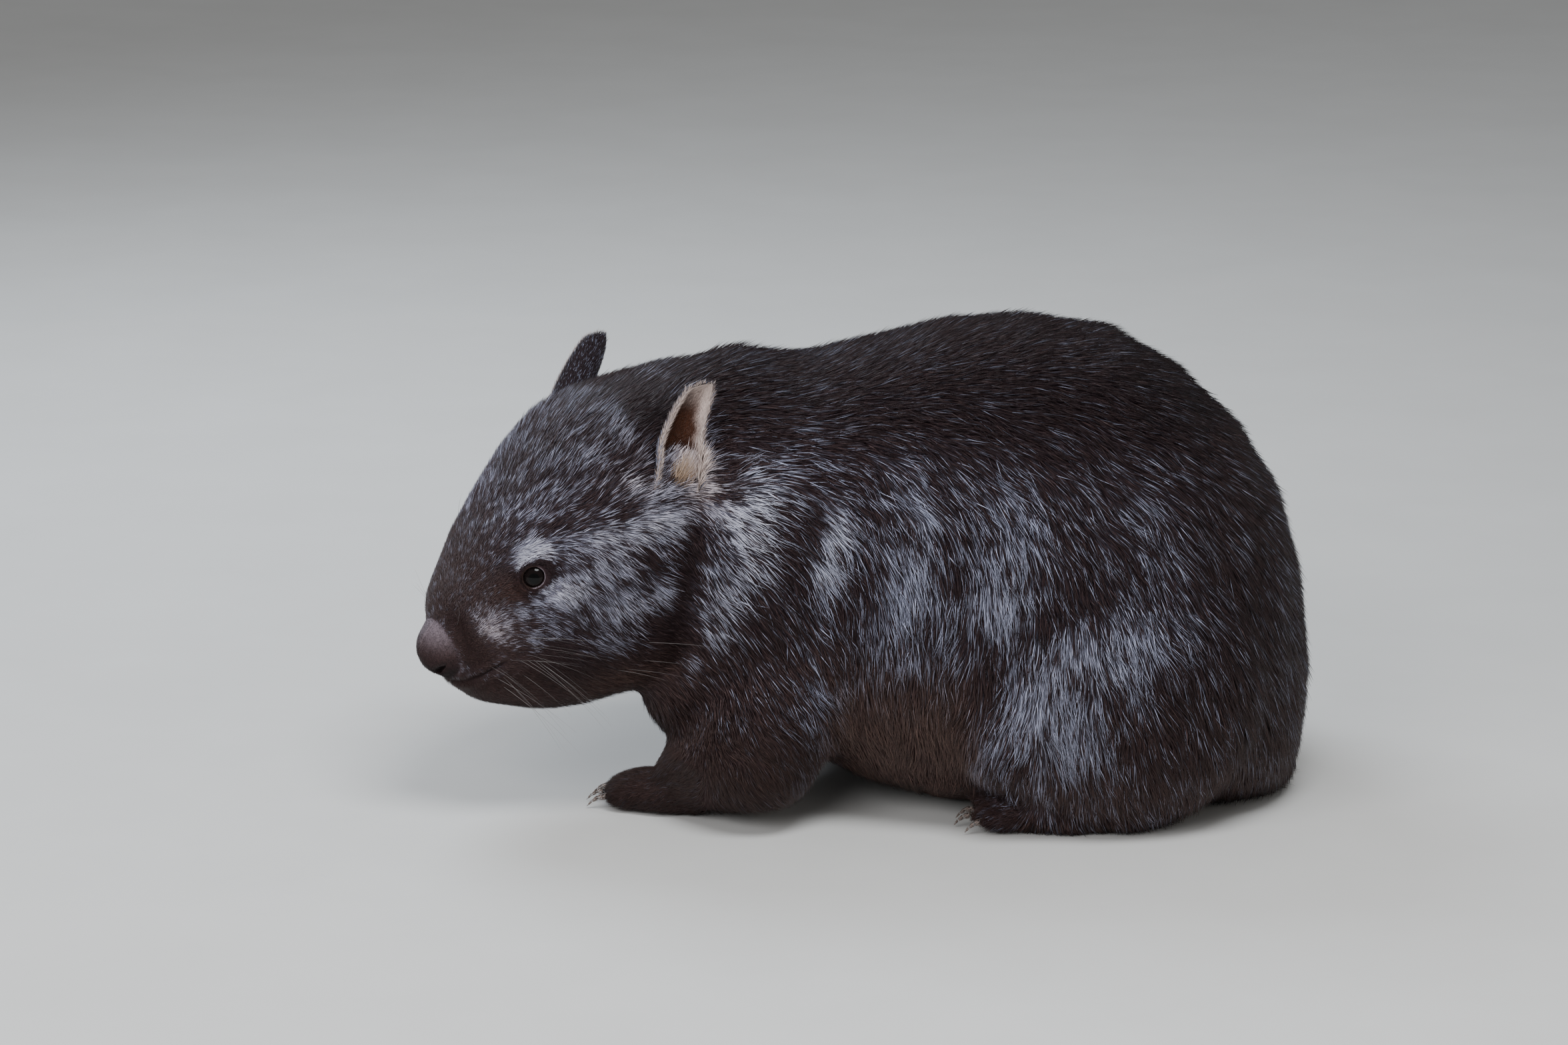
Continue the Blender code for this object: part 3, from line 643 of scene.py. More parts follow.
LID_HALF_LENGTH = 0.0065
LID_HALF_HEIGHT = 0.0059
LID_RISE = 0.0006
LID_STANDS = 0.0011
LID_SOFT = 0.0014
LID_FOLD, LID_CREASE = 0.0007, 0.0006
BALL_CLEAR = 0.0016
SOCKET_DEPTH = 0.0012
EYE_REACH, EYE_REACH_IN, EYE_FIT_FROM = 0.026, 0.012, 0.0165
EYE_SHARE_NONE, EYE_SHARE_FULL = 0.0215, 0.015


def quadratic(a, b):
    return np.column_stack((np.ones_like(a), a, b, a * a, a * b, b * b))


def dome(reach, radius):
    """Height of a ball over its middle."""
    return np.sqrt(np.maximum(reach ** 2 - radius ** 2, 1e-9))


def sculpt_eye(head, side):
    """Raise lids round an opening and open the skin in front of the eyeball.

    Returns the points, how much of each is rim, and how much is the rim's wet edge.
    """
    axes, centre = eye_axes(side), eye_centre(side)
    local = (head - centre) @ axes
    a, b, g = local.T
    radius = np.hypot(a, b)
    near = (radius < EYE_REACH) & (g > -EYE_REACH_IN)
    ring = near & (radius > EYE_FIT_FROM)
    fit = np.linalg.lstsq(quadratic(a[ring], b[ring]), g[ring], rcond=None)[0]
    e = np.hypot(a / LID_HALF_LENGTH, (b - LID_RISE) / LID_HALF_HEIGHT)
    skin = quadratic(a, b) @ fit - SOCKET_DEPTH * bell(e, 2.1, 0.45)
    lid_radius = EYE_RADIUS + LID_STANDS
    lift = np.where(radius < lid_radius, dome(lid_radius, radius), -0.01)
    fold = LID_FOLD * bell(e, 1.55, 0.1) - LID_CREASE * bell(e, 1.78, 0.1)
    outside = LID_SOFT * np.logaddexp(lift / LID_SOFT, skin / LID_SOFT) + fold * ease(2.0, 1.3, e)
    target = toward(dome(EYE_RADIUS, radius) - BALL_CLEAR, outside, ease(0.9, 1.02, e))
    local[:, 2] = toward(g, target, ease(EYE_SHARE_NONE, EYE_SHARE_FULL, radius) * near)
    moved = local @ axes.T + centre
    away = radius.clip(1e-4)
    back = ease(0.1, -0.6, a / away)
    rim = ease(1.26 - 0.14 * back, 1.06 - 0.04 * back, e) * near
    wet = rim * bell(e, 1.02, 0.028) * ease(0.2, -0.5, (a + b) / away)
    return np.where(near[:, None], moved, head), rim, wet


NOSTRIL = (
    (0.166, 0.006, -0.035), (0.164, 0.01, -0.031), (0.1595, 0.0155, -0.0275),
    (0.155, 0.0195, -0.0275))
NOSTRIL_EDGE = 0.0027
NOSTRIL_DEPTH = (0.0042, 0.0, 0.0)
NOSE_MIDDLE = (0.135, 0, -0.026)
WING_OUT, WING_WIDTH, WING_RISE = 0.0042, 0.0015, 0.0006
CLEFT_WIDTH = 0.0011
CLEFT_DEPTH = (0.0014, 0.0, 0.0)


def sculpt_nose(head, nose):
    """Sink the nostrils and the cleft below the nose. Returns the points and their share of painted shade.
    """
    moved = head.copy()
    dark = np.zeros(len(head))
    for side in SIDES:
        line = [tuple(np.array(on_side(point, side)) * 1000) for point in NOSTRIL]
        away = line_distance(head, line) / 1000
        pit = ease(NOSTRIL_EDGE, 0.0008, away) * (head[:, 0] > 0.13)
        moved -= pit[:, None] * NOSTRIL_DEPTH
        wing = bell(away, WING_OUT, WING_WIDTH) * nose * WING_RISE
        moved += unit(head - NOSE_MIDDLE) * wing[:, None]
        dark = np.maximum(dark, ease(NOSTRIL_EDGE, 0.0014, away) * (head[:, 0] > 0.13))
    cleft = bell(head[:, 1], 0, CLEFT_WIDTH) * ease(-0.03, -0.04, head[:, 2]) * (head[:, 0] > 0.135)
    cleft *= ease(-0.062, -0.054, head[:, 2])
    moved -= cleft[:, None] * CLEFT_DEPTH
    return moved, np.maximum(dark, 0.7 * cleft)


MOUTH_CENTRE = Vector((0.105, 0, -0.043))
MOUTH_SWING = math.radians(52)
MOUTH_POINTS = 25
MOUTH_SLOPE, MOUTH_CURL = -0.01, 0.35
MOUTH_WIDTH, MOUTH_DEPTH, MOUTH_FROM = 0.0011, 0.0018, 0.1
LIP_OUT, LIP_WIDTH, LIP_RISE = 0.0036, 0.0018, 0.0007
WHISKER_PAD, WHISKER_PAD_RADII = (135, 37, -19), (11, 16, 11)
MUZZLE_VALLEY, VALLEY_WIDTH = ((149, 21, -6), (147, 26, -20), (148, 24, -34)), 4
MUZZLE_RELIEF = 0.0026


def mouth_line(mesh):
    """Points on the skin from one corner of the mouth to the other, in the head's frame, in millimetres."""
    tree = tree_of(mesh)
    start = Vector(from_head(MOUTH_CENTRE))
    points = []
    for i in range(MOUTH_POINTS):
        swing = MOUTH_SWING * (2 * i / (MOUTH_POINTS - 1) - 1)
        slope = MOUTH_SLOPE + MOUTH_CURL * math.sin(swing) ** 2
        direction = HEAD_TURN @ Vector((math.cos(swing), math.sin(swing), slope))
        hit = tree.ray_cast(start, direction.normalized())[0]
        if hit is not None:
            points.append(tuple(to_head(np.array(hit)) * 1000))
    return points


def sculpt_muzzle(head, normal):
    """Raise the whisker pads and sink a valley between them and the nose."""
    face = folded(head)
    pad = blob(face, WHISKER_PAD, WHISKER_PAD_RADII) * MUZZLE_RELIEF
    valley = bell(line_distance(face, MUZZLE_VALLEY), 0, VALLEY_WIDTH) * MUZZLE_RELIEF
    return head + normal * (pad - valley)[:, None]


def sculpt_mouth(head, normal, line):
    """Sink the mouth's line and raise the lips. Returns the points and their share of the line."""
    away = line_distance(head, line) / 1000
    near = head[:, 0] > MOUTH_FROM
    groove = bell(away, 0, MOUTH_WIDTH) * near
    lip = bell(away, LIP_OUT, LIP_WIDTH) * near
    return head - normal * (groove * MOUTH_DEPTH)[:, None] + normal * (lip * LIP_RISE)[:, None], groove


# The nose pad's tint from top to bottom: a painted highlight, its middle colour, painted shade.
PAD_HIGHLIGHT = (0.24, 0.195, 0.22)
PAD_MIDDLE = (0.052, 0.031, 0.031)
PAD_SHADE = (0.015, 0.008, 0.008)


def lit_pad_tint(head):
    """The nose pad's colour, with a painted highlight on top and painted shade below."""
    low = head[:, 2] + 0.0005 * ripple(head, 0.004, 61) + 0.12 * np.abs(head[:, 1])
    middle = blend(PAD_HIGHLIGHT, PAD_MIDDLE, ease(-0.002, -0.023, low))
    return blend(middle, PAD_SHADE, ease(-0.02, -0.038, low))


def build_skin():
    """The sculpted and tinted skin, with each point's share of nose pad and of bare skin."""
    skin = melted_skin()
    mesh = skin.data
    points = smoothed(skin, 12)
    refine(skin, (to_head(points)[:, 0] > FINE_HEAD_FROM) & (points[:, 2] > FINE_HEAD_ABOVE))
    points = smoothed(skin, 2)
    head = to_head(points)
    fine = (head[:, 0] > 0.128) & (np.abs(head[:, 1]) < 0.045) & (head[:, 2] < 0.0)
    for side in SIDES:
        fine |= np.linalg.norm(head - eye_centre(side), axis=1) < FINE_EYE_REACH
    refine(skin, fine)
    points = smoothed(skin, 1)
    edges = edge_pairs(mesh)
    places = Places(points)
    places.nose = relax(nose_share(points), edges, 2)
    depth = relax(coat_depth(places), edges, 12)
    nape = blob(points - OFFSET, NAPE, NAPE_RADII) * NAPE_RISE
    points = points + normals(mesh) * (nape - depth)[:, None]
    off_nose = (1 - places.nose) * (1 - ease(0.1, 0.12, to_head(points)[:, 0]))
    points = relax(points, edges, 4, 0.4 * off_nose)
    on_nape = np.clip(blob(points - OFFSET, NAPE_SMOOTH, NAPE_SMOOTH_RADII), 0, 0.5)
    points = relax(points, edges, NAPE_ROUNDS, on_nape)
    points[:, 2] = np.maximum(points[:, 2], SKIN_LOWEST)
    set_positions(mesh, points)
    head, normal = to_head(points), normals(mesh) @ TURN
    head = sculpt_muzzle(head, normal)
    head, groove = sculpt_mouth(head, normal, mouth_line(mesh))
    head, pit_shade = sculpt_nose(head, places.nose)
    rim, wet = np.zeros(len(points)), np.zeros(len(points))
    for side in SIDES:
        head, own_rim, own_wet = sculpt_eye(head, side)
        rim, wet = np.maximum(rim, own_rim), np.maximum(wet, own_wet)
    points = from_head(head)
    set_positions(mesh, points)
    tint = skin_tint(Places(points))
    # Over the coat's tint: the nose pad's tint with its painted highlight and shade, the caruncle, the lid
    # rims, their wet edge, and painted shade in the nostrils, the cleft and the mouth's line.
    layers = (
        (lit_pad_tint(head), places.nose), (CARUNCLE_TINT, 0.8 * blob(folded(head), CARUNCLE, CARUNCLE_RADII)),
        (RIM_TINT, rim), (WET_TINT, wet), (HOLLOW_SHADE_TINT, np.clip(pit_shade + 0.8 * groove, 0, 1)))
    for colour, share in layers:
        tint = blend(tint, colour, share)
    set_tint(mesh, tint)
    skin.name = "skin"
    mesh.name = "skin"
    return skin, places.nose, np.clip(rim * 1.2 + pit_shade + groove * 0.6, 0, 1)


# ---- tufts
COAT_TUFTS = 326000
PIECE_TUFTS = 48000
ROOT_SINK = 0.0005
TUFT_LOWEST = 0.0005
TUFT_PATCH = 0.003
TUFT_BEND = 0.1
TUFT_FACES = np.array([(0, 2, 1), (1, 2, 3), (0, 1, 3), (0, 3, 2)])
TUFT_CORNERS = np.array([(0.5, 0), (0, 0.5), (1, 0.5), (0.5, 1)]) * TUFT_PATCH


def scatter(mesh, density, count, rng):
    """Roots spread over a mesh by a density per vertex: corner indices and the weights on them."""
    mesh.calc_loop_triangles()
    tris = read(mesh.loop_triangles, "vertices", 3, np.int32)
    points = positions(mesh)
    a, b, c = points[tris[:, 0]], points[tris[:, 1]], points[tris[:, 2]]
    area = np.linalg.norm(np.cross(b - a, c - a), axis=1) / 2
    share = np.cumsum(area * density[tris].mean(1))
    picks = (np.arange(count) + rng.uniform(0, 1, count)) / count * share[-1]
    chosen = np.minimum(np.searchsorted(share, picks), len(tris) - 1)
    u, v = rng.uniform(0, 1, (2, count))
    over = u + v > 1
    u[over], v[over] = 1 - u[over], 1 - v[over]
    return tris[chosen], np.column_stack((1 - u - v, u, v))


def gather(values, corners, weights):
    """Values of vertices at places between them."""
    picked = values[corners]
    if picked.ndim == 2:
        return (picked * weights).sum(1)
    return (picked * weights[:, :, None]).sum(1)


def planted(mesh, density, count, rng):
    """Roots spread over a mesh: corner indices, weights, places and normals."""
    corners, weights = scatter(mesh, density, count, rng)
    up = unit(gather(normals(mesh), corners, weights))
    return corners, weights, gather(positions(mesh), corners, weights), up


def tuft_mesh(name, roots, normal, flow, length, height, width, root_tint, tip_tint, patch, rng):
    """Thin blades of four faces, keeled below, each with its own corner of the bake map."""
    count = len(roots)
    across = np.cross(normal, flow)
    length = length[:, None]
    bend = rng.normal(0, TUFT_BEND, (count, 1))
    base = roots - normal * ROOT_SINK
    rise = height[:, None]
    half = (width / 2)[:, None]
    tip = base + flow * length * 0.97 + normal * (ROOT_SINK + rise) + across * bend * length
    middle = base + (tip - base) * 0.46 + normal * (half * 0.7 + rise * 0.03) - across * bend * length * 0.1
    verts = np.stack((base, middle + across * half, middle - across * half, tip), 1)
    verts[:, :, 2] = np.maximum(verts[:, :, 2], TUFT_LOWEST)
    triangles = (TUFT_FACES[None] + 4 * np.arange(count)[:, None, None]).reshape(-1, 3)
    obj = triangles_object(name, verts.reshape(-1, 3), triangles)
    uv = (patch[:, None, :] + TUFT_CORNERS[None]).reshape(-1, 2)
    layer = obj.data.uv_layers.new(name="OFBake")
    layer.data.foreach_set("uv", uv[triangles.ravel()].astype(np.float32).ravel())
    mid_tint = blend(root_tint, tip_tint, 0.5)
    set_tint(obj.data, np.stack((root_tint, mid_tint, mid_tint, tip_tint), 1).reshape(-1, 3))
    return obj


# ---- the coat
LEG_TOP = 0.062
HIND_FROM, MID_FROM = 0.16, 0.06
CELL_EDGE, CELL_SPAN = 0.01, 0.47
TIP_CLUMPS = ((0.17, 0.008, 31), (0.2, 0.0036, 32))
TONE_RANGE = (0.45, 1.6)
STRENGTH_RANGE = (0.25, 1.05)


def unwrap(places):
    """Bake map places of skin points: along and around the part that each belongs to."""
    b = places.measured
    trunk, low, left = places.is_head <= 0.5, b[:, 2] <= LEG_TOP, b[:, 1] < 0
    # which points, their frame, the start and length along x, and the middle across y and z
    regions = (
        (~trunk, places.head, -0.07, 0.25, 0.0, -0.02),
        (trunk & ~low, b, -0.14, 0.46, 0.0, 0.13),
        (trunk & low & left, b, -0.14, 0.46, -0.09, 0.028),
        (trunk & low & ~left, b, -0.14, 0.46, 0.09, 0.028),
    )
    out = np.zeros((len(b), 2))
    for cell, (mask, source, start, span, mid_y, mid_z) in enumerate(regions):
        along = np.clip((source[:, 0] - start) / span, 0, 1)
        around = np.arctan2(source[:, 1] - mid_y, source[:, 2] - mid_z) / math.tau + 0.5
        corner = 0.5 * np.array([cell % 2, cell // 2]) + CELL_EDGE
        out[mask] = (corner + CELL_SPAN * np.column_stack((along, around)))[mask]
    return out


def tip_colours(places, rng):
    """Root and tip colours of tufts: dark at the root, some with silver or buff tips."""
    count = len(places.row)
    silver, buff, dark, brown, white, cream = markings(places)
    clump = 0.5 + ripples(places.row, TIP_CLUMPS)
    pick = 0.56 * rng.uniform(0, 1, count) + 0.44 * np.clip(clump, 0, 1)
    pick = np.clip((pick - 0.12) / 0.76, 0.02, 1)
    lit = ease(-0.08, 0.08, silver - pick) * np.clip(silver * 12, 0, 1)
    pale = blend(SILVER_AND_SHEEN, WHITE, 0.7 * white)
    pale = blend(pale, CREAM, np.clip(0.3 * rng.uniform(0, 1, count) * places.is_head + 0.8 * cream, 0, 1))
    pale = blend(pale, BUFF, np.clip(buff * 1.1, 0, 1) * (1 - 0.8 * cream))
    plain = blend(DARK, BROWN, np.clip(rng.uniform(0.0, 0.7, count) + 0.4 * buff + 0.6 * brown, 0, 1.3))
    plain = blend(plain, BUFF, 0.4 * buff * rng.uniform(0.0, 1.3, count))
    plain *= rng.uniform(*TONE_RANGE, (count, 1))
    strength = rng.uniform(*STRENGTH_RANGE, count)
    strength = toward(strength, STRENGTH_RANGE[1], 0.6 * white) * (1 - 0.7 * dark)
    tip = blend(plain, pale * strength[:, None], lit) * (1 - 0.5 * dark)[:, None]
    root = blend(DARK, BROWN, rng.uniform(0.0, 0.4, count) + 0.4 * buff)
    root = blend(root, pale * 0.5, 0.6 * white * lit) * (1 - 0.4 * dark)[:, None]
    return root, tip


def grow_coat(skin, nose, bald, material):
    rng = np.random.default_rng(41)
    mesh = skin.data
    points, normal = positions(mesh), normals(mesh)
    density = (BODY_LENGTH / coat_length(Places(points))) ** 1.3
    density *= (1 - nose) * (1 - bald) * ease(0.0012, 0.0035, points[:, 2])
    density *= 1 - 0.6 * ease(-0.25, -0.75, normal[:, 2]) * ease(0.12, 0.08, points[:, 2])
    corners, weights, roots, up = planted(mesh, density, COAT_TUFTS, rng)
    count = len(roots)
    places = Places(roots)
    places.nose = gather(nose, corners, weights)
    length = coat_length(places) * rng.uniform(0.72, 1.22, count)
    by_eye = ease(1.5, 1.0, eye_ring(places.face)) * places.is_head
    length *= 1 - 0.5 * by_eye
    rise = rng.uniform(0.4, 1.05, count) + 0.35 * (rng.uniform(0, 1, count) < 0.06)
    height = np.clip(coat_depth(places), 0.0011, 1) * rise + np.minimum(length * 0.09, 0.0006)
    height += 0.0005 * by_eye
    width = np.clip(length * 0.026, 0.0002, 0.0004) * rng.uniform(0.7, 1.3, count)
    root_tint, tip_tint = tip_colours(places, rng)
    columns = roots, up, lie(places, up), length, height, width, root_tint, tip_tint, unwrap(places)
    in_head = places.is_head > 0.5
    x, y, _ = places.measured.T
    parts = (
        ("head", in_head, places.left),
        ("fore", ~in_head & (x < MID_FROM), y < 0),
        ("mid", ~in_head & (x >= MID_FROM) & (x < HIND_FROM), y < 0),
        ("hind", ~in_head & (x >= HIND_FROM), y < 0),
    )
    for part, mask, left in parts:
        slot = "face_coat" if part == "head" else "body_coat"
        for side, half in zip(SIDES, (left, ~left)):
            name = "coat_%s_%s" % (part, side)
            index = np.where(mask & half)[0]
            for k in range(0, len(index), PIECE_TUFTS):
                chosen = index[k:k + PIECE_TUFTS]
                label = name if len(index) <= PIECE_TUFTS else "%s_%d" % (name, k // PIECE_TUFTS + 1)
                dress(tuft_mesh(label, *(column[chosen] for column in columns), rng), material, slot)


# ---- ears
EAR_ROOT = np.array([0.012, 0.074, 0.039])
EAR_TIP = np.array([-0.019, 0.074, 0.085])
EAR_FACING = np.array([0.25, 1.0, -0.1])
EAR_FORWARD_RIGHT = (0.01, 0, 0)
EAR_STEPS, EAR_ARC_STEPS = 44, 28
EAR_START = -0.22
EAR_SHEET = 0.0016
EAR_ARC = math.radians(200)
EAR_INSET = 0.0012
EAR_NARROWEST = 0.0012
EAR_CUP = 0.87
EAR_CLEAR = 0.0006
EAR_TUFTS = 15000
# Rings up an ear: share of its length, how far back their middles lie, and half width.
EAR_RINGS = np.array((
    (-0.3, 0.001, 0.0148), (0.05, 0.0, 0.015), (0.24, -0.0028, 0.0148), (0.42, -0.0036, 0.0131),
    (0.6, -0.0032, 0.0117), (0.75, -0.0019, 0.0106), (0.86, -0.0011, 0.0094), (0.93, 0.0002, 0.0072),
    (0.975, 0.0024, 0.0046), (1.0, 0.0042, 0.0022),
))
EAR_PALE = np.array([0.66, 0.53, 0.48])
EAR_VALLEY = (0.07, 0.026, 0.014)
EAR_BACK = (0.036, 0.024, 0.029)
EAR_BRIGHT = (0.78, 0.68, 0.62)
EAR_SKIN_TONE = 0.7
FINE_WIDTHS = (0.00018, 0.00032)


def at_ear(places, side):
    """Places measured on the left ear, on that side's ear."""
    places = places * np.array([1, side_sign(side), 1])
    return places + EAR_FORWARD_RIGHT if side == "right" else places


def build_ear(side):
    """A thin pointed sheet curled round an open cup, where its points lie on it, and its axis and rear."""
    sign = np.array([1, side_sign(side), 1])
    root = at_ear(EAR_ROOT, side)
    axis = EAR_TIP * sign - root
    length = np.linalg.norm(axis)
    axis = axis / length
    facing = EAR_FACING * sign
    facing = unit(facing - axis * (facing @ axis))
    rear = np.cross(axis, facing) * side_sign(side)
    up_share = 1 - (1 - np.arange(EAR_STEPS + 1) / EAR_STEPS) ** 1.3
    heights = EAR_START + (1 - EAR_START) * up_share
    back, half = (np.interp(heights, EAR_RINGS[:, 0], EAR_RINGS[:, k]) for k in (1, 2))
    for _ in range(3):
        for line in (back, half):
            line[1:-1] = (line[:-2] + 2 * line[1:-1] + line[2:]) / 4
    verts, where = [], []
    for k in range(EAR_STEPS + 1):
        high = max(heights[k], 0)
        wide = max(half[k] - EAR_INSET, EAR_NARROWEST)
        deep = EAR_CUP * wide * (1 - 0.35 * high)
        sheet = min(EAR_SHEET * (1 - 0.45 * high), 0.5 * wide)
        middle = root + axis * (length * heights[k] - EAR_INSET * high)
        middle = middle - facing * deep * 0.4 + rear * back[k]
        outer = range(EAR_ARC_STEPS + 1)
        for inner, cut, row in ((0, 0, outer), (1, sheet, outer[::-1])):
            for i in row:
                angle = EAR_ARC * (i / EAR_ARC_STEPS - 0.5)
                spread_out = rear * (wide - cut) * math.sin(angle)
                verts.append(middle + spread_out - facing * (deep - cut) * math.cos(angle))
                where.append((high, 2 * i / EAR_ARC_STEPS - 1, inner))
    ring = 2 * (EAR_ARC_STEPS + 1)
    faces = []
    for k in range(EAR_STEPS):
        for i in range(ring):
            j = (i + 1) % ring
            faces.append((k * ring + i, k * ring + j, (k + 1) * ring + j, (k + 1) * ring + i))
    faces.append(tuple(range(ring)))
    faces.append(tuple(range(EAR_STEPS * ring, (EAR_STEPS + 1) * ring)))
    obj = mesh_object("ear_skin_" + side, from_head(np.array(verts)), faces)
    face_outward(obj.data)
    return obj, np.array(where), axis @ TURN.T, rear @ TURN.T


def ear_tint(high, around, inner):
    """Pale rims and tip, a brown valley behind the front rim, a dark back.

    Around runs from the front, -1, to the rear, 1.
    """
    brown = ease(-0.74, -0.4, around) * ease(0.95 - 0.5 * high, 0.4 - 0.45 * high, around)
    brown *= ease(0.97, 0.62, high)
    saddle = 0.45 * bell(high, 0.46, 0.07) * ease(0.95, 0.6, around) * (around > -0.2)
    inside = blend(EAR_PALE, EAR_VALLEY, np.clip(brown + saddle, 0, 1))
    front = blend(EAR_BACK, EAR_PALE * 0.8, ease(-0.92, -1.0, around))
    return blend(front, inside, inner)


EAR_FAN_TUFTS = 1700
EAR_FAN_LINE = np.array(((0.016, 0.076, 0.0355), (0.008, 0.0745, 0.037), (0.0005, 0.0755, 0.04)))
EAR_FAN_SPREAD = 0.0022
EAR_FAN_LENGTHS, EAR_FAN_HEIGHTS = (0.008, 0.019), (0.0002, 0.0022)
EAR_FAN_TAN = (0.42, 0.3, 0.205)
EAR_FAN_ROOT = (0.2, 0.13, 0.09)


def ear_fan(side, axis, rear, tree, coat):
    """Long pale hair that rises from below the ear's opening and covers the lower part of it."""
    rng = np.random.default_rng(29)
    count = EAR_FAN_TUFTS
    t = rng.uniform(0, 2, count)
    low = np.minimum(t.astype(int), 1)
    line = at_ear(EAR_FAN_LINE, side)
    places = blend(line[low], line[low + 1], t - low) + rng.normal(0, EAR_FAN_SPREAD, (count, 3))
    roots, up = (np.array(column) for column in zip(*nearest(tree, from_head(places))))
    flow = axis + rear * (0.05 + 0.5 * rng.uniform(0, 1, (count, 1))) + rng.normal(0, 0.1, (count, 3))
    flow = unit(flow)
    out = unit(np.cross(np.cross(flow, up), flow))
    length = rng.uniform(*EAR_FAN_LENGTHS, count)
    height = rng.uniform(*EAR_FAN_HEIGHTS, count)
    width = rng.uniform(*FINE_WIDTHS, count)
    tan = np.clip(1.3 - t + rng.normal(0, 0.2, count), 0.05, 1)
    tip = blend(CREAM, EAR_FAN_TAN, tan) * rng.uniform(0.5, 0.95, (count, 1))
    root = np.tile(EAR_FAN_ROOT, (count, 1))
    patch = np.column_stack((0.5 + 0.2 * t / 2, np.full(count, 0.97)))
    fur = tuft_mesh("ear_fan_" + side, roots, out, flow, length, height, width, root, tip, patch, rng)
    dress(fur, coat, "ear_skin")


def ear_fur(side, mesh, where, axis, rear, tree, coat, rng):
    """Short fur over both faces of the ear, longer on its rims and low in the cup."""
    high, around, inner = where.T
    density = (0.85 + 0.9 * ease(0.72, 0.98, np.abs(around)) + 0.5 * (1 - inner)) * ease(-0.02, 0.03, high)
    density = density + 1.0 * ease(0.35, 0.05, high) * inner * (around > -0.3)
    corners, weights, roots, up = planted(mesh, density, EAR_TUFTS, rng)
    found = zip(roots, nearest(tree, roots))
    clear = np.array([(Vector(root) - near).dot(out) > EAR_CLEAR for root, (near, out) in found])
    roots, up, corners, weights = roots[clear], up[clear], corners[clear], weights[clear]
    count = len(roots)
    h, a, i = (gather(column, corners, weights) for column in (high, around, inner))
    edge = np.abs(a)
    tuft = ease(0.42, 0.1, h) * ease(-0.35, 0.1, a) * i
    flow = np.tile(axis, (count, 1)) + rng.normal(0, 0.16, (count, 3))
    flow = flow + rear * (0.55 * tuft + 0.25 * i)[:, None]
    flow = flow + up * (0.4 * ease(0.82, 1.0, edge) + 0.5 * tuft)[:, None]
    flow = laid(flow, up, 0.75 - 0.5 * tuft)
    length = (0.0036 + 0.0016 * ease(0.75, 1.0, edge) + 0.0075 * tuft) * rng.uniform(0.7, 1.2, count)
    length *= 1 - 0.3 * ease(0.8, 1.0, h)
    height = rng.uniform(0.0004, 0.0011, count) + 0.003 * tuft * rng.uniform(0, 1, count)
    width = rng.uniform(*FINE_WIDTHS, count)
    tip = ear_tint(h, a, i)
    frost = (rng.uniform(0, 1, count) < 0.1 + 0.3 * ease(0.35, 0.0, h)) & (i < 0.5)
    tip = np.where(frost[:, None], SILVER_AND_SHEEN * 0.4, tip)
    bright = (rng.uniform(0, 1, count) < 0.3) & (i > 0.5) & (tip[:, 0] > 0.45)
    tip = np.where(bright[:, None], (tip + EAR_BRIGHT) * 0.5, tip)
    tip = tip * rng.uniform(0.7, 1.15, (count, 1))
    patch = np.column_stack((0.02 + 0.9 * np.clip(h, 0, 1), 0.02 + 0.48 * i + 0.22 * (a + 1)))
    fur = tuft_mesh("ear_fur_" + side, roots, up, flow, length, height, width, tip * 0.55, tip, patch, rng)
    dress(fur, coat, "ear_skin")


def grow_ears(skin, material, coat):
    rng = np.random.default_rng(7)
    tree = tree_of(skin.data)
    for side in SIDES:
        obj, where, axis, rear = build_ear(side)
        set_tint(obj.data, ear_tint(*where.T) * EAR_SKIN_TONE)
        dress(obj, material, "ear_skin", "ear_" + side)
        ear_fur(side, obj.data, where, axis, rear, tree, coat, rng)
        ear_fan(side, axis, rear, tree, coat)


# ---- eyes
CORNEA_REACH, CORNEA_RISE = 0.0068, 0.035
PUPIL_SIZE = 0.34
PUPIL_TINT = (0.001, 0.001, 0.001)
IRIS_TINT = (0.0045, 0.0025, 0.0024)
# Outside the iris, as shares of the ball's radius: where each colour starts and where it is full.
EYE_BANDS = (
    (0.56, 0.66, (0.004, 0.003, 0.003)), (0.74, 0.82, (0.03, 0.022, 0.02)))


def build_eyes(material):
    for side in SIDES:
        bm = bmesh.new()
        bmesh.ops.create_uvsphere(bm, u_segments=64, v_segments=40, radius=EYE_RADIUS)
        mesh = bpy.data.meshes.new("eyeball_" + side)
        bm.to_mesh(mesh)
        bm.free()
        ball = positions(mesh)
        front = ball[:, 2] > 0
        radius = np.hypot(ball[:, 0], ball[:, 1])
        off = np.where(front, radius / EYE_RADIUS, 2.0)
        ball = ball * (1 + CORNEA_RISE * (ease(CORNEA_REACH, 0.0, radius) * front))[:, None]
        set_positions(mesh, from_head(ball @ eye_axes(side).T + eye_centre(side)))
        colours = np.where((off < PUPIL_SIZE)[:, None], PUPIL_TINT, IRIS_TINT)
        for start, full, colour in EYE_BANDS:
            colours = blend(colours, colour, ease(start, full, off))
        set_tint(mesh, colours)
        shade_smooth(mesh)
        face_outward(mesh)
        dress(link(bpy.data.objects.new("eyeball_" + side, mesh)), material, "eye_gloss", "eye_" + side)


# ---- whiskers
HAIR_SIDES = 4
HAIR_TAPER = 0.85
WHISKER_STEPS = 8
WHISKER_RADII = (0.00006, 0.0001)
WHISKER_TINT = np.array([1.0, 0.9, 0.88])
WHISKER_LOWEST = 0.001
WHISKER_FROM = 0.12
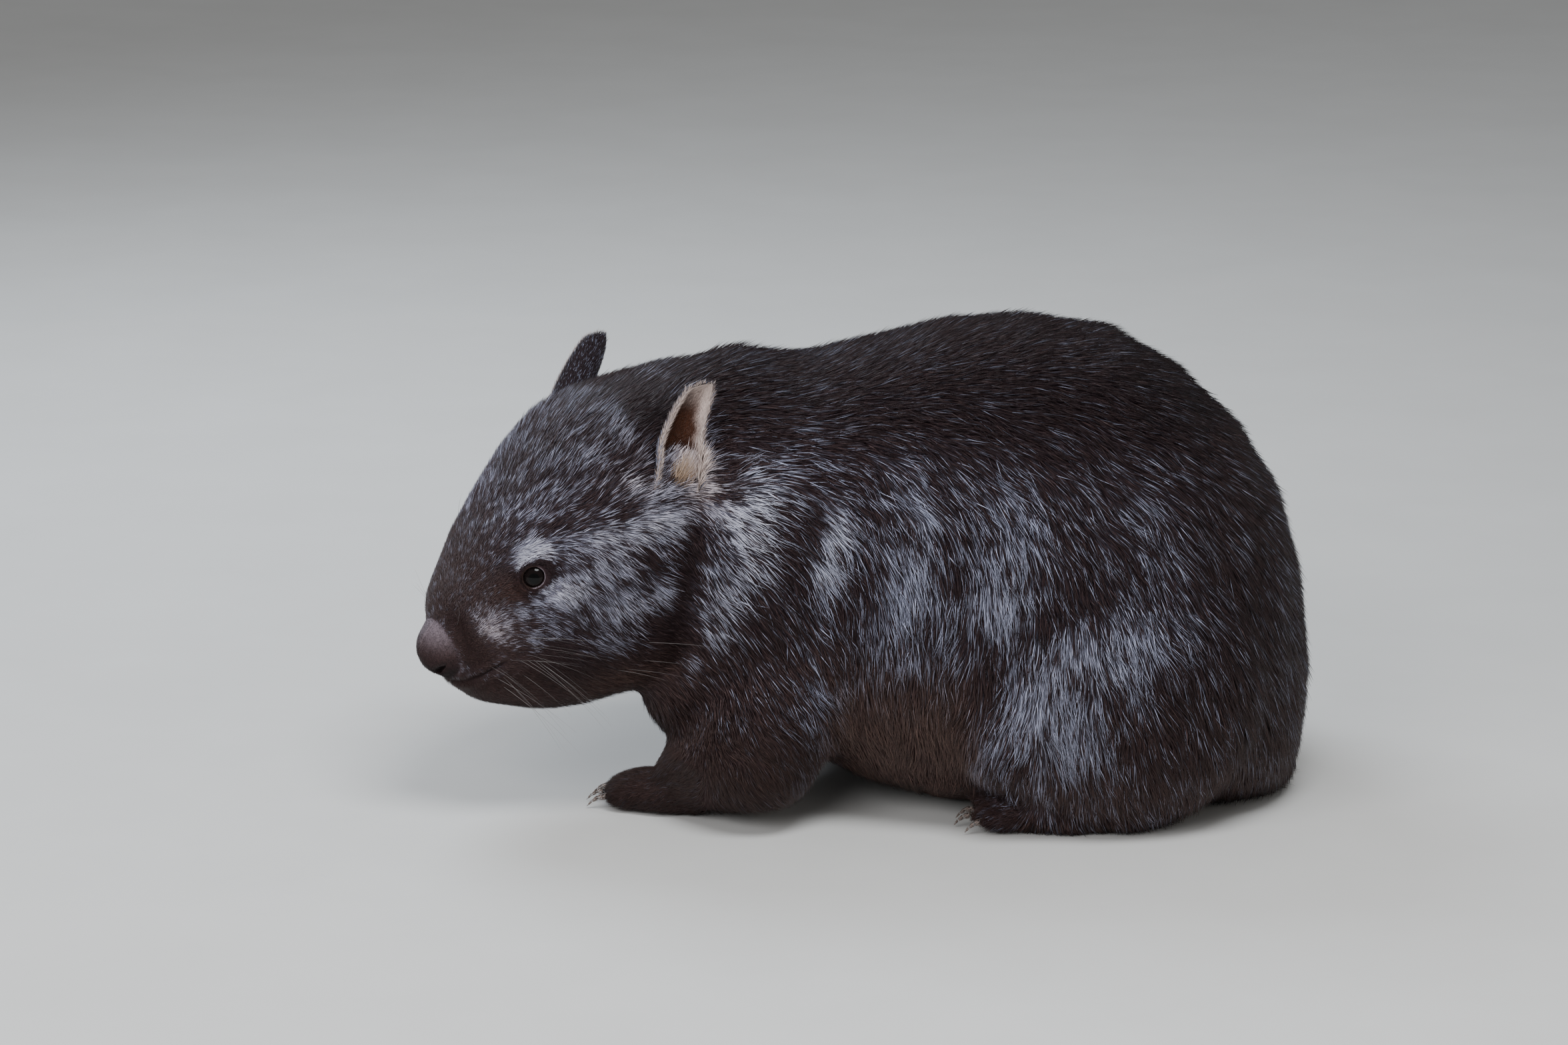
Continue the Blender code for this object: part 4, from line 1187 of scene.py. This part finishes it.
# Rows of whiskers: count, along from and to, height from and to, length, backward, downward.
WHISKER_ROWS = (
    (15, (0.118, 0.146), (-0.05, -0.03), 0.05, 0.62, 0.72),
    (9, (0.108, 0.138), (-0.034, -0.018), 0.056, 0.88, 0.32),
    (3, (0.098, 0.112), (0.024, 0.03), 0.03, 0.5, -0.4),
    (4, (0.062, 0.085), (-0.06, -0.044), 0.044, 0.85, 0.3),
    (3, (0.14, 0.15), (-0.012, -0.002), 0.022, -0.1, -0.65),
)


def thin_hairs(name, lines, radii, tints):
    """Tapered hairs along lines of points, in one mesh."""
    verts, faces, colours = [], [], []
    for line, radius, tint in zip(lines, radii, tints):
        start = len(verts)
        last = len(line) - 1
        for k, point in enumerate(line):
            ahead = line[min(k + 1, last)] - line[max(k - 1, 0)]
            ahead = ahead / np.linalg.norm(ahead)
            aside = np.cross(ahead, [0.1, 0.2, 1.0])
            aside /= np.linalg.norm(aside)
            over = np.cross(aside, ahead)
            size = radius * (1 - HAIR_TAPER * k / last)
            for turn in range(HAIR_SIDES):
                angle = math.tau * turn / HAIR_SIDES
                verts.append(point + (aside * math.cos(angle) + over * math.sin(angle)) * size)
                colours.append(tint)
        for k in range(last):
            low, high = start + HAIR_SIDES * k, start + HAIR_SIDES * (k + 1)
            for i in range(HAIR_SIDES):
                j = (i + 1) % HAIR_SIDES
                faces.append((low + i, low + j, high + j, high + i))
        end = start + HAIR_SIDES * last
        faces.append(tuple(range(start + HAIR_SIDES - 1, start - 1, -1)))
        faces.append(tuple(range(end, end + HAIR_SIDES)))
    obj = mesh_object(name, verts, faces)
    face_outward(obj.data)
    set_tint(obj.data, np.array(colours))
    return obj


def whisker(root, side, length, back, down, rng):
    """Points along one whisker that leaves the skin, bends back and hangs."""
    out = np.array([0, side_sign(side), 0]) @ TURN.T
    way = np.array([-back, 0.42 * side_sign(side), -down * 0.55]) @ TURN.T
    way = way + np.array([0, 0, -down * 0.45]) + rng.normal(0, 0.1, 3)
    way /= np.linalg.norm(way)
    reach = length * rng.uniform(0.65, 1.15)
    line = []
    for k in range(WHISKER_STEPS + 1):
        t = k / WHISKER_STEPS
        point = root + (way * t + out * 0.16 * t * (1 - t) * 2) * reach
        line.append(point + np.array([0, 0, -0.16 * reach * t * t]))
    line[0] = line[0] - out * 0.001
    return line


def whiskers(skin, material):
    rng = np.random.default_rng(19)
    tree = tree_of(skin.data)
    lines, radii, tints = [], [], []
    for side in SIDES:
        inward = HEAD_TURN @ Vector((0, -side_sign(side), 0))
        for count, along, height, length, back, down in WHISKER_ROWS:
            for _ in range(count):
                place = (rng.uniform(*along), WHISKER_FROM, rng.uniform(*height))
                hit = tree.ray_cast(Vector(from_head(on_side(place, side))), inward)[0]
                if hit is None:
                    continue
                line = whisker(np.array(hit), side, length, back, down, rng)
                if min(point[2] for point in line) < WHISKER_LOWEST:
                    continue
                lines.append(line)
                radii.append(rng.uniform(*WHISKER_RADII))
                tints.append(WHISKER_TINT * rng.uniform(0.08, 0.24))
    dress(thin_hairs("whiskers", lines, radii, tints), material, "face_coat")


# ---- nose fuzz
FUZZ_TUFTS = 12000
FUZZ_WAY = (-0.6, 0.3, -0.5)
FUZZ_LENGTHS, FUZZ_HEIGHTS, FUZZ_WIDTHS = (0.0009, 0.0018), (0.0003, 0.0008), (0.00015, 0.00026)
FUZZ_TONES = (0.3, 2.2)


def nose_fuzz(skin, nose, bald, material):
    rng = np.random.default_rng(23)
    density = ease(0.3, 0.8, nose) * (1 - bald)
    _, _, roots, up = planted(skin.data, density, FUZZ_TUFTS, rng)
    head = to_head(roots)
    flow = np.tile(FUZZ_WAY, (FUZZ_TUFTS, 1))
    flow[:, 1] *= np.sign(head[:, 1])
    flow = laid(unit(flow) @ TURN.T + rng.normal(0, 0.25, (FUZZ_TUFTS, 3)), up)
    length, height, width = (
        rng.uniform(*sizes, FUZZ_TUFTS) for sizes in (FUZZ_LENGTHS, FUZZ_HEIGHTS, FUZZ_WIDTHS))
    # The fuzz takes the pad's tint, painted highlight and shade included.
    tip = lit_pad_tint(head) * rng.uniform(*FUZZ_TONES, (FUZZ_TUFTS, 1))
    patch = np.column_stack((0.1 + 8 * (head[:, 1] + 0.04), 0.1 + 8 * (head[:, 2] + 0.06)))
    patch = np.clip(patch, 0, 0.99)
    obj = tuft_mesh("nose_fuzz", roots, up, flow, length, height, width, tip * 0.5, tip, patch, rng)
    dress(obj, material, "nose_skin")


# ---- materials
# Materials that show a mesh's tint: the noise's scale and detail, its least and most, and shader inputs.
FINISHES = {
    "coat": (260.0, 3.0, 0.72, 1.25, {"Roughness": 0.46, "Specular IOR Level": 0.24}),
    "skin": (420.0, 5.0, 0.6, 1.4, {"Roughness": 0.8, "Specular IOR Level": 0.12}),
    "whisker_hair": (200.0, 3.0, 0.8, 1.15, {"Roughness": 0.35}),
    "eye": (900.0, 4.0, 0.6, 1.5, {"Roughness": 0.04, "IOR": 1.28}),
}
SKIN_GRAIN = (1100.0, 4.0)
SKIN_BUMP, CLAW_BUMP = (0.5, 0.0004), (0.4, 0.0003)
CLAW_GRAIN = (60.0, 900.0, 900.0)
CLAW_COLOURS = ((0.05, 0.036, 0.032, 1), (0.23, 0.175, 0.15, 1))
CLAW_ROUGHNESS = 0.42
FLOOR_GRAIN = 9.0
FLOOR_COLOURS = ((0.56, 0.55, 0.53, 1), (0.62, 0.61, 0.59, 1))
FLOOR_ROUGHNESS = 0.85


def feed(tree, made, inputs):
    """Set a shader node's inputs to values, or link them to other nodes' sockets."""
    for name, value in inputs.items():
        if isinstance(value, bpy.types.NodeSocket):
            tree.links.new(value, made.inputs[name])
        else:
            made.inputs[name].default_value = value


def node(tree, kind, output, inputs, **settings):
    """The output of a new shader node."""
    made = tree.nodes.new("ShaderNode" + kind)
    for name, value in settings.items():
        setattr(made, name, value)
    feed(tree, made, inputs)
    return made.outputs[output]


def material(name):
    made = bpy.data.materials.new(name)
    made.use_nodes = True
    return made, made.node_tree, made.node_tree.nodes["Principled BSDF"]


def object_place(tree):
    return node(tree, "TexCoord", "Object", {})


def noise(tree, scale, detail=3.0, rough=0.6):
    inputs = {"Vector": object_place(tree), "Scale": scale, "Detail": detail, "Roughness": rough}
    return node(tree, "TexNoise", "Fac", inputs)


def ramp(tree, factor, colours):
    """A colour between two colours."""
    made = tree.nodes.new("ShaderNodeValToRGB")
    for element, colour in zip(made.color_ramp.elements, colours):
        element.color = colour
    feed(tree, made, {"Fac": factor})
    return made.outputs["Color"]


def bump(tree, height, strength, distance):
    return node(tree, "Bump", "Normal", {"Strength": strength, "Distance": distance, "Height": height})


def tinted(name):
    """A material of the mesh's own tint, lighter and darker by a noise."""
    made, tree, shader = material(name)
    scale, detail, least, most, inputs = FINISHES[name]
    tint = node(tree, "Attribute", "Color", {}, attribute_name="tint")
    tones = {"Value": noise(tree, scale, detail), "To Min": least, "To Max": most}
    tone = node(tree, "MapRange", "Result", tones)
    colour = node(tree, "VectorMath", "Vector", {0: tint, "Scale": tone}, operation="SCALE")
    feed(tree, shader, {"Base Color": colour, **inputs})
    if name == "skin":
        feed(tree, shader, {"Normal": bump(tree, noise(tree, *SKIN_GRAIN), *SKIN_BUMP)})
    return made


def claw_material():
    made, tree, shader = material("claw")
    place = node(tree, "Mapping", "Vector", {"Vector": object_place(tree), "Scale": CLAW_GRAIN})
    wave = node(tree, "TexNoise", "Fac", {"Vector": place, "Scale": 1.0})
    feed(tree, shader, {
        "Base Color": ramp(tree, wave, CLAW_COLOURS), "Roughness": CLAW_ROUGHNESS,
        "Normal": bump(tree, wave, *CLAW_BUMP)})
    return made


def dress_claws(made):
    for name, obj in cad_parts.items():
        if not name.startswith("claw"):
            continue
        obj.data.materials.clear()
        obj.data.materials.append(made)
        smoother = obj.modifiers.new("round", "SUBSURF")
        smoother.levels = 2
        smoother.render_levels = 2


# ---- floor, light and camera
FLOOR_CORNERS = [(-4, -4, 0), (4, -4, 0), (4, 6, 0), (-4, 6, 0)]
LIT_MIDDLE = Vector((0.0, 0.0, 0.12))
# Lights: name, place, size, power, colour, and whether gloss mirrors it.
LIGHTS = (
    ("top", (0.35, -1.0, 1.95), (1.2, 0.75), 38, (0.94, 0.97, 1.0), True),
    ("key", (-0.95, -1.75, 1.15), (1.6, 1.2), 34, (0.97, 0.98, 1.0), False),
    ("rim", (-0.75, 1.05, 1.35), (1.2, 0.8), 24, (0.8, 0.89, 1.0), True),
    ("fill", (1.5, -1.6, 0.8), (1.4, 1.0), 5, (1.0, 0.95, 0.9), False),
)
SKY_COLOUR, SKY_STRENGTH = (0.86, 0.88, 0.9, 1), 0.32
CAMERA_RISE = math.radians(14.5)
CAMERA_AWAY = 3.2
CAMERA_SENSOR = 36
CAMERA_LENS = 8205 / 2352 * CAMERA_SENSOR
CAMERA_TARGET = Vector((0, 0, 0.1538))


def stage():
    floor = mesh_object("floor", FLOOR_CORNERS, [(0, 1, 2, 3)])
    made, tree, shader = material("floor")
    colour = ramp(tree, noise(tree, FLOOR_GRAIN), FLOOR_COLOURS)
    feed(tree, shader, {"Base Color": colour, "Roughness": FLOOR_ROUGHNESS})
    floor.data.materials.append(made)


def aim(obj, place, way):
    obj.location = place
    obj.rotation_mode = "QUATERNION"
    obj.rotation_quaternion = way.to_track_quat("-Z", "Y")


def lights():
    for name, place, size, power, colour, mirrored in LIGHTS:
        lamp = bpy.data.lights.new(name, "AREA")
        lamp.shape = "ELLIPSE"
        lamp.size, lamp.size_y = size
        lamp.energy = power
        lamp.color = colour
        obj = link(bpy.data.objects.new(name, lamp))
        obj.visible_glossy = mirrored
        aim(obj, place, LIT_MIDDLE - Vector(place))
    world = bpy.data.worlds.new("studio")
    world.use_nodes = True
    sky = {"Color": SKY_COLOUR, "Strength": SKY_STRENGTH}
    feed(world.node_tree, world.node_tree.nodes["Background"], sky)
    bpy.context.scene.world = world


def camera():
    lens = bpy.data.cameras.new("camera")
    lens.sensor_width = CAMERA_SENSOR
    lens.lens = CAMERA_LENS
    lens.clip_start = 0.05
    lens.clip_end = 50
    obj = link(bpy.data.objects.new("camera", lens))
    look = Vector((0, math.cos(CAMERA_RISE), -math.sin(CAMERA_RISE)))
    aim(obj, CAMERA_TARGET + SHIFT - look * CAMERA_AWAY, look)
    bpy.context.scene.camera = obj


def main():
    camera()
    lights()
    stage()
    coat, skin_finish = tinted("coat"), tinted("skin")
    skin, nose, bald = build_skin()
    dress(skin, skin_finish, "body_coat", *FLESH)
    grow_coat(skin, nose, bald, coat)
    grow_ears(skin, skin_finish, coat)
    build_eyes(tinted("eye"))
    nose_fuzz(skin, nose, bald, coat)
    whiskers(skin, tinted("whisker_hair"))
    dress_claws(claw_material())


main()
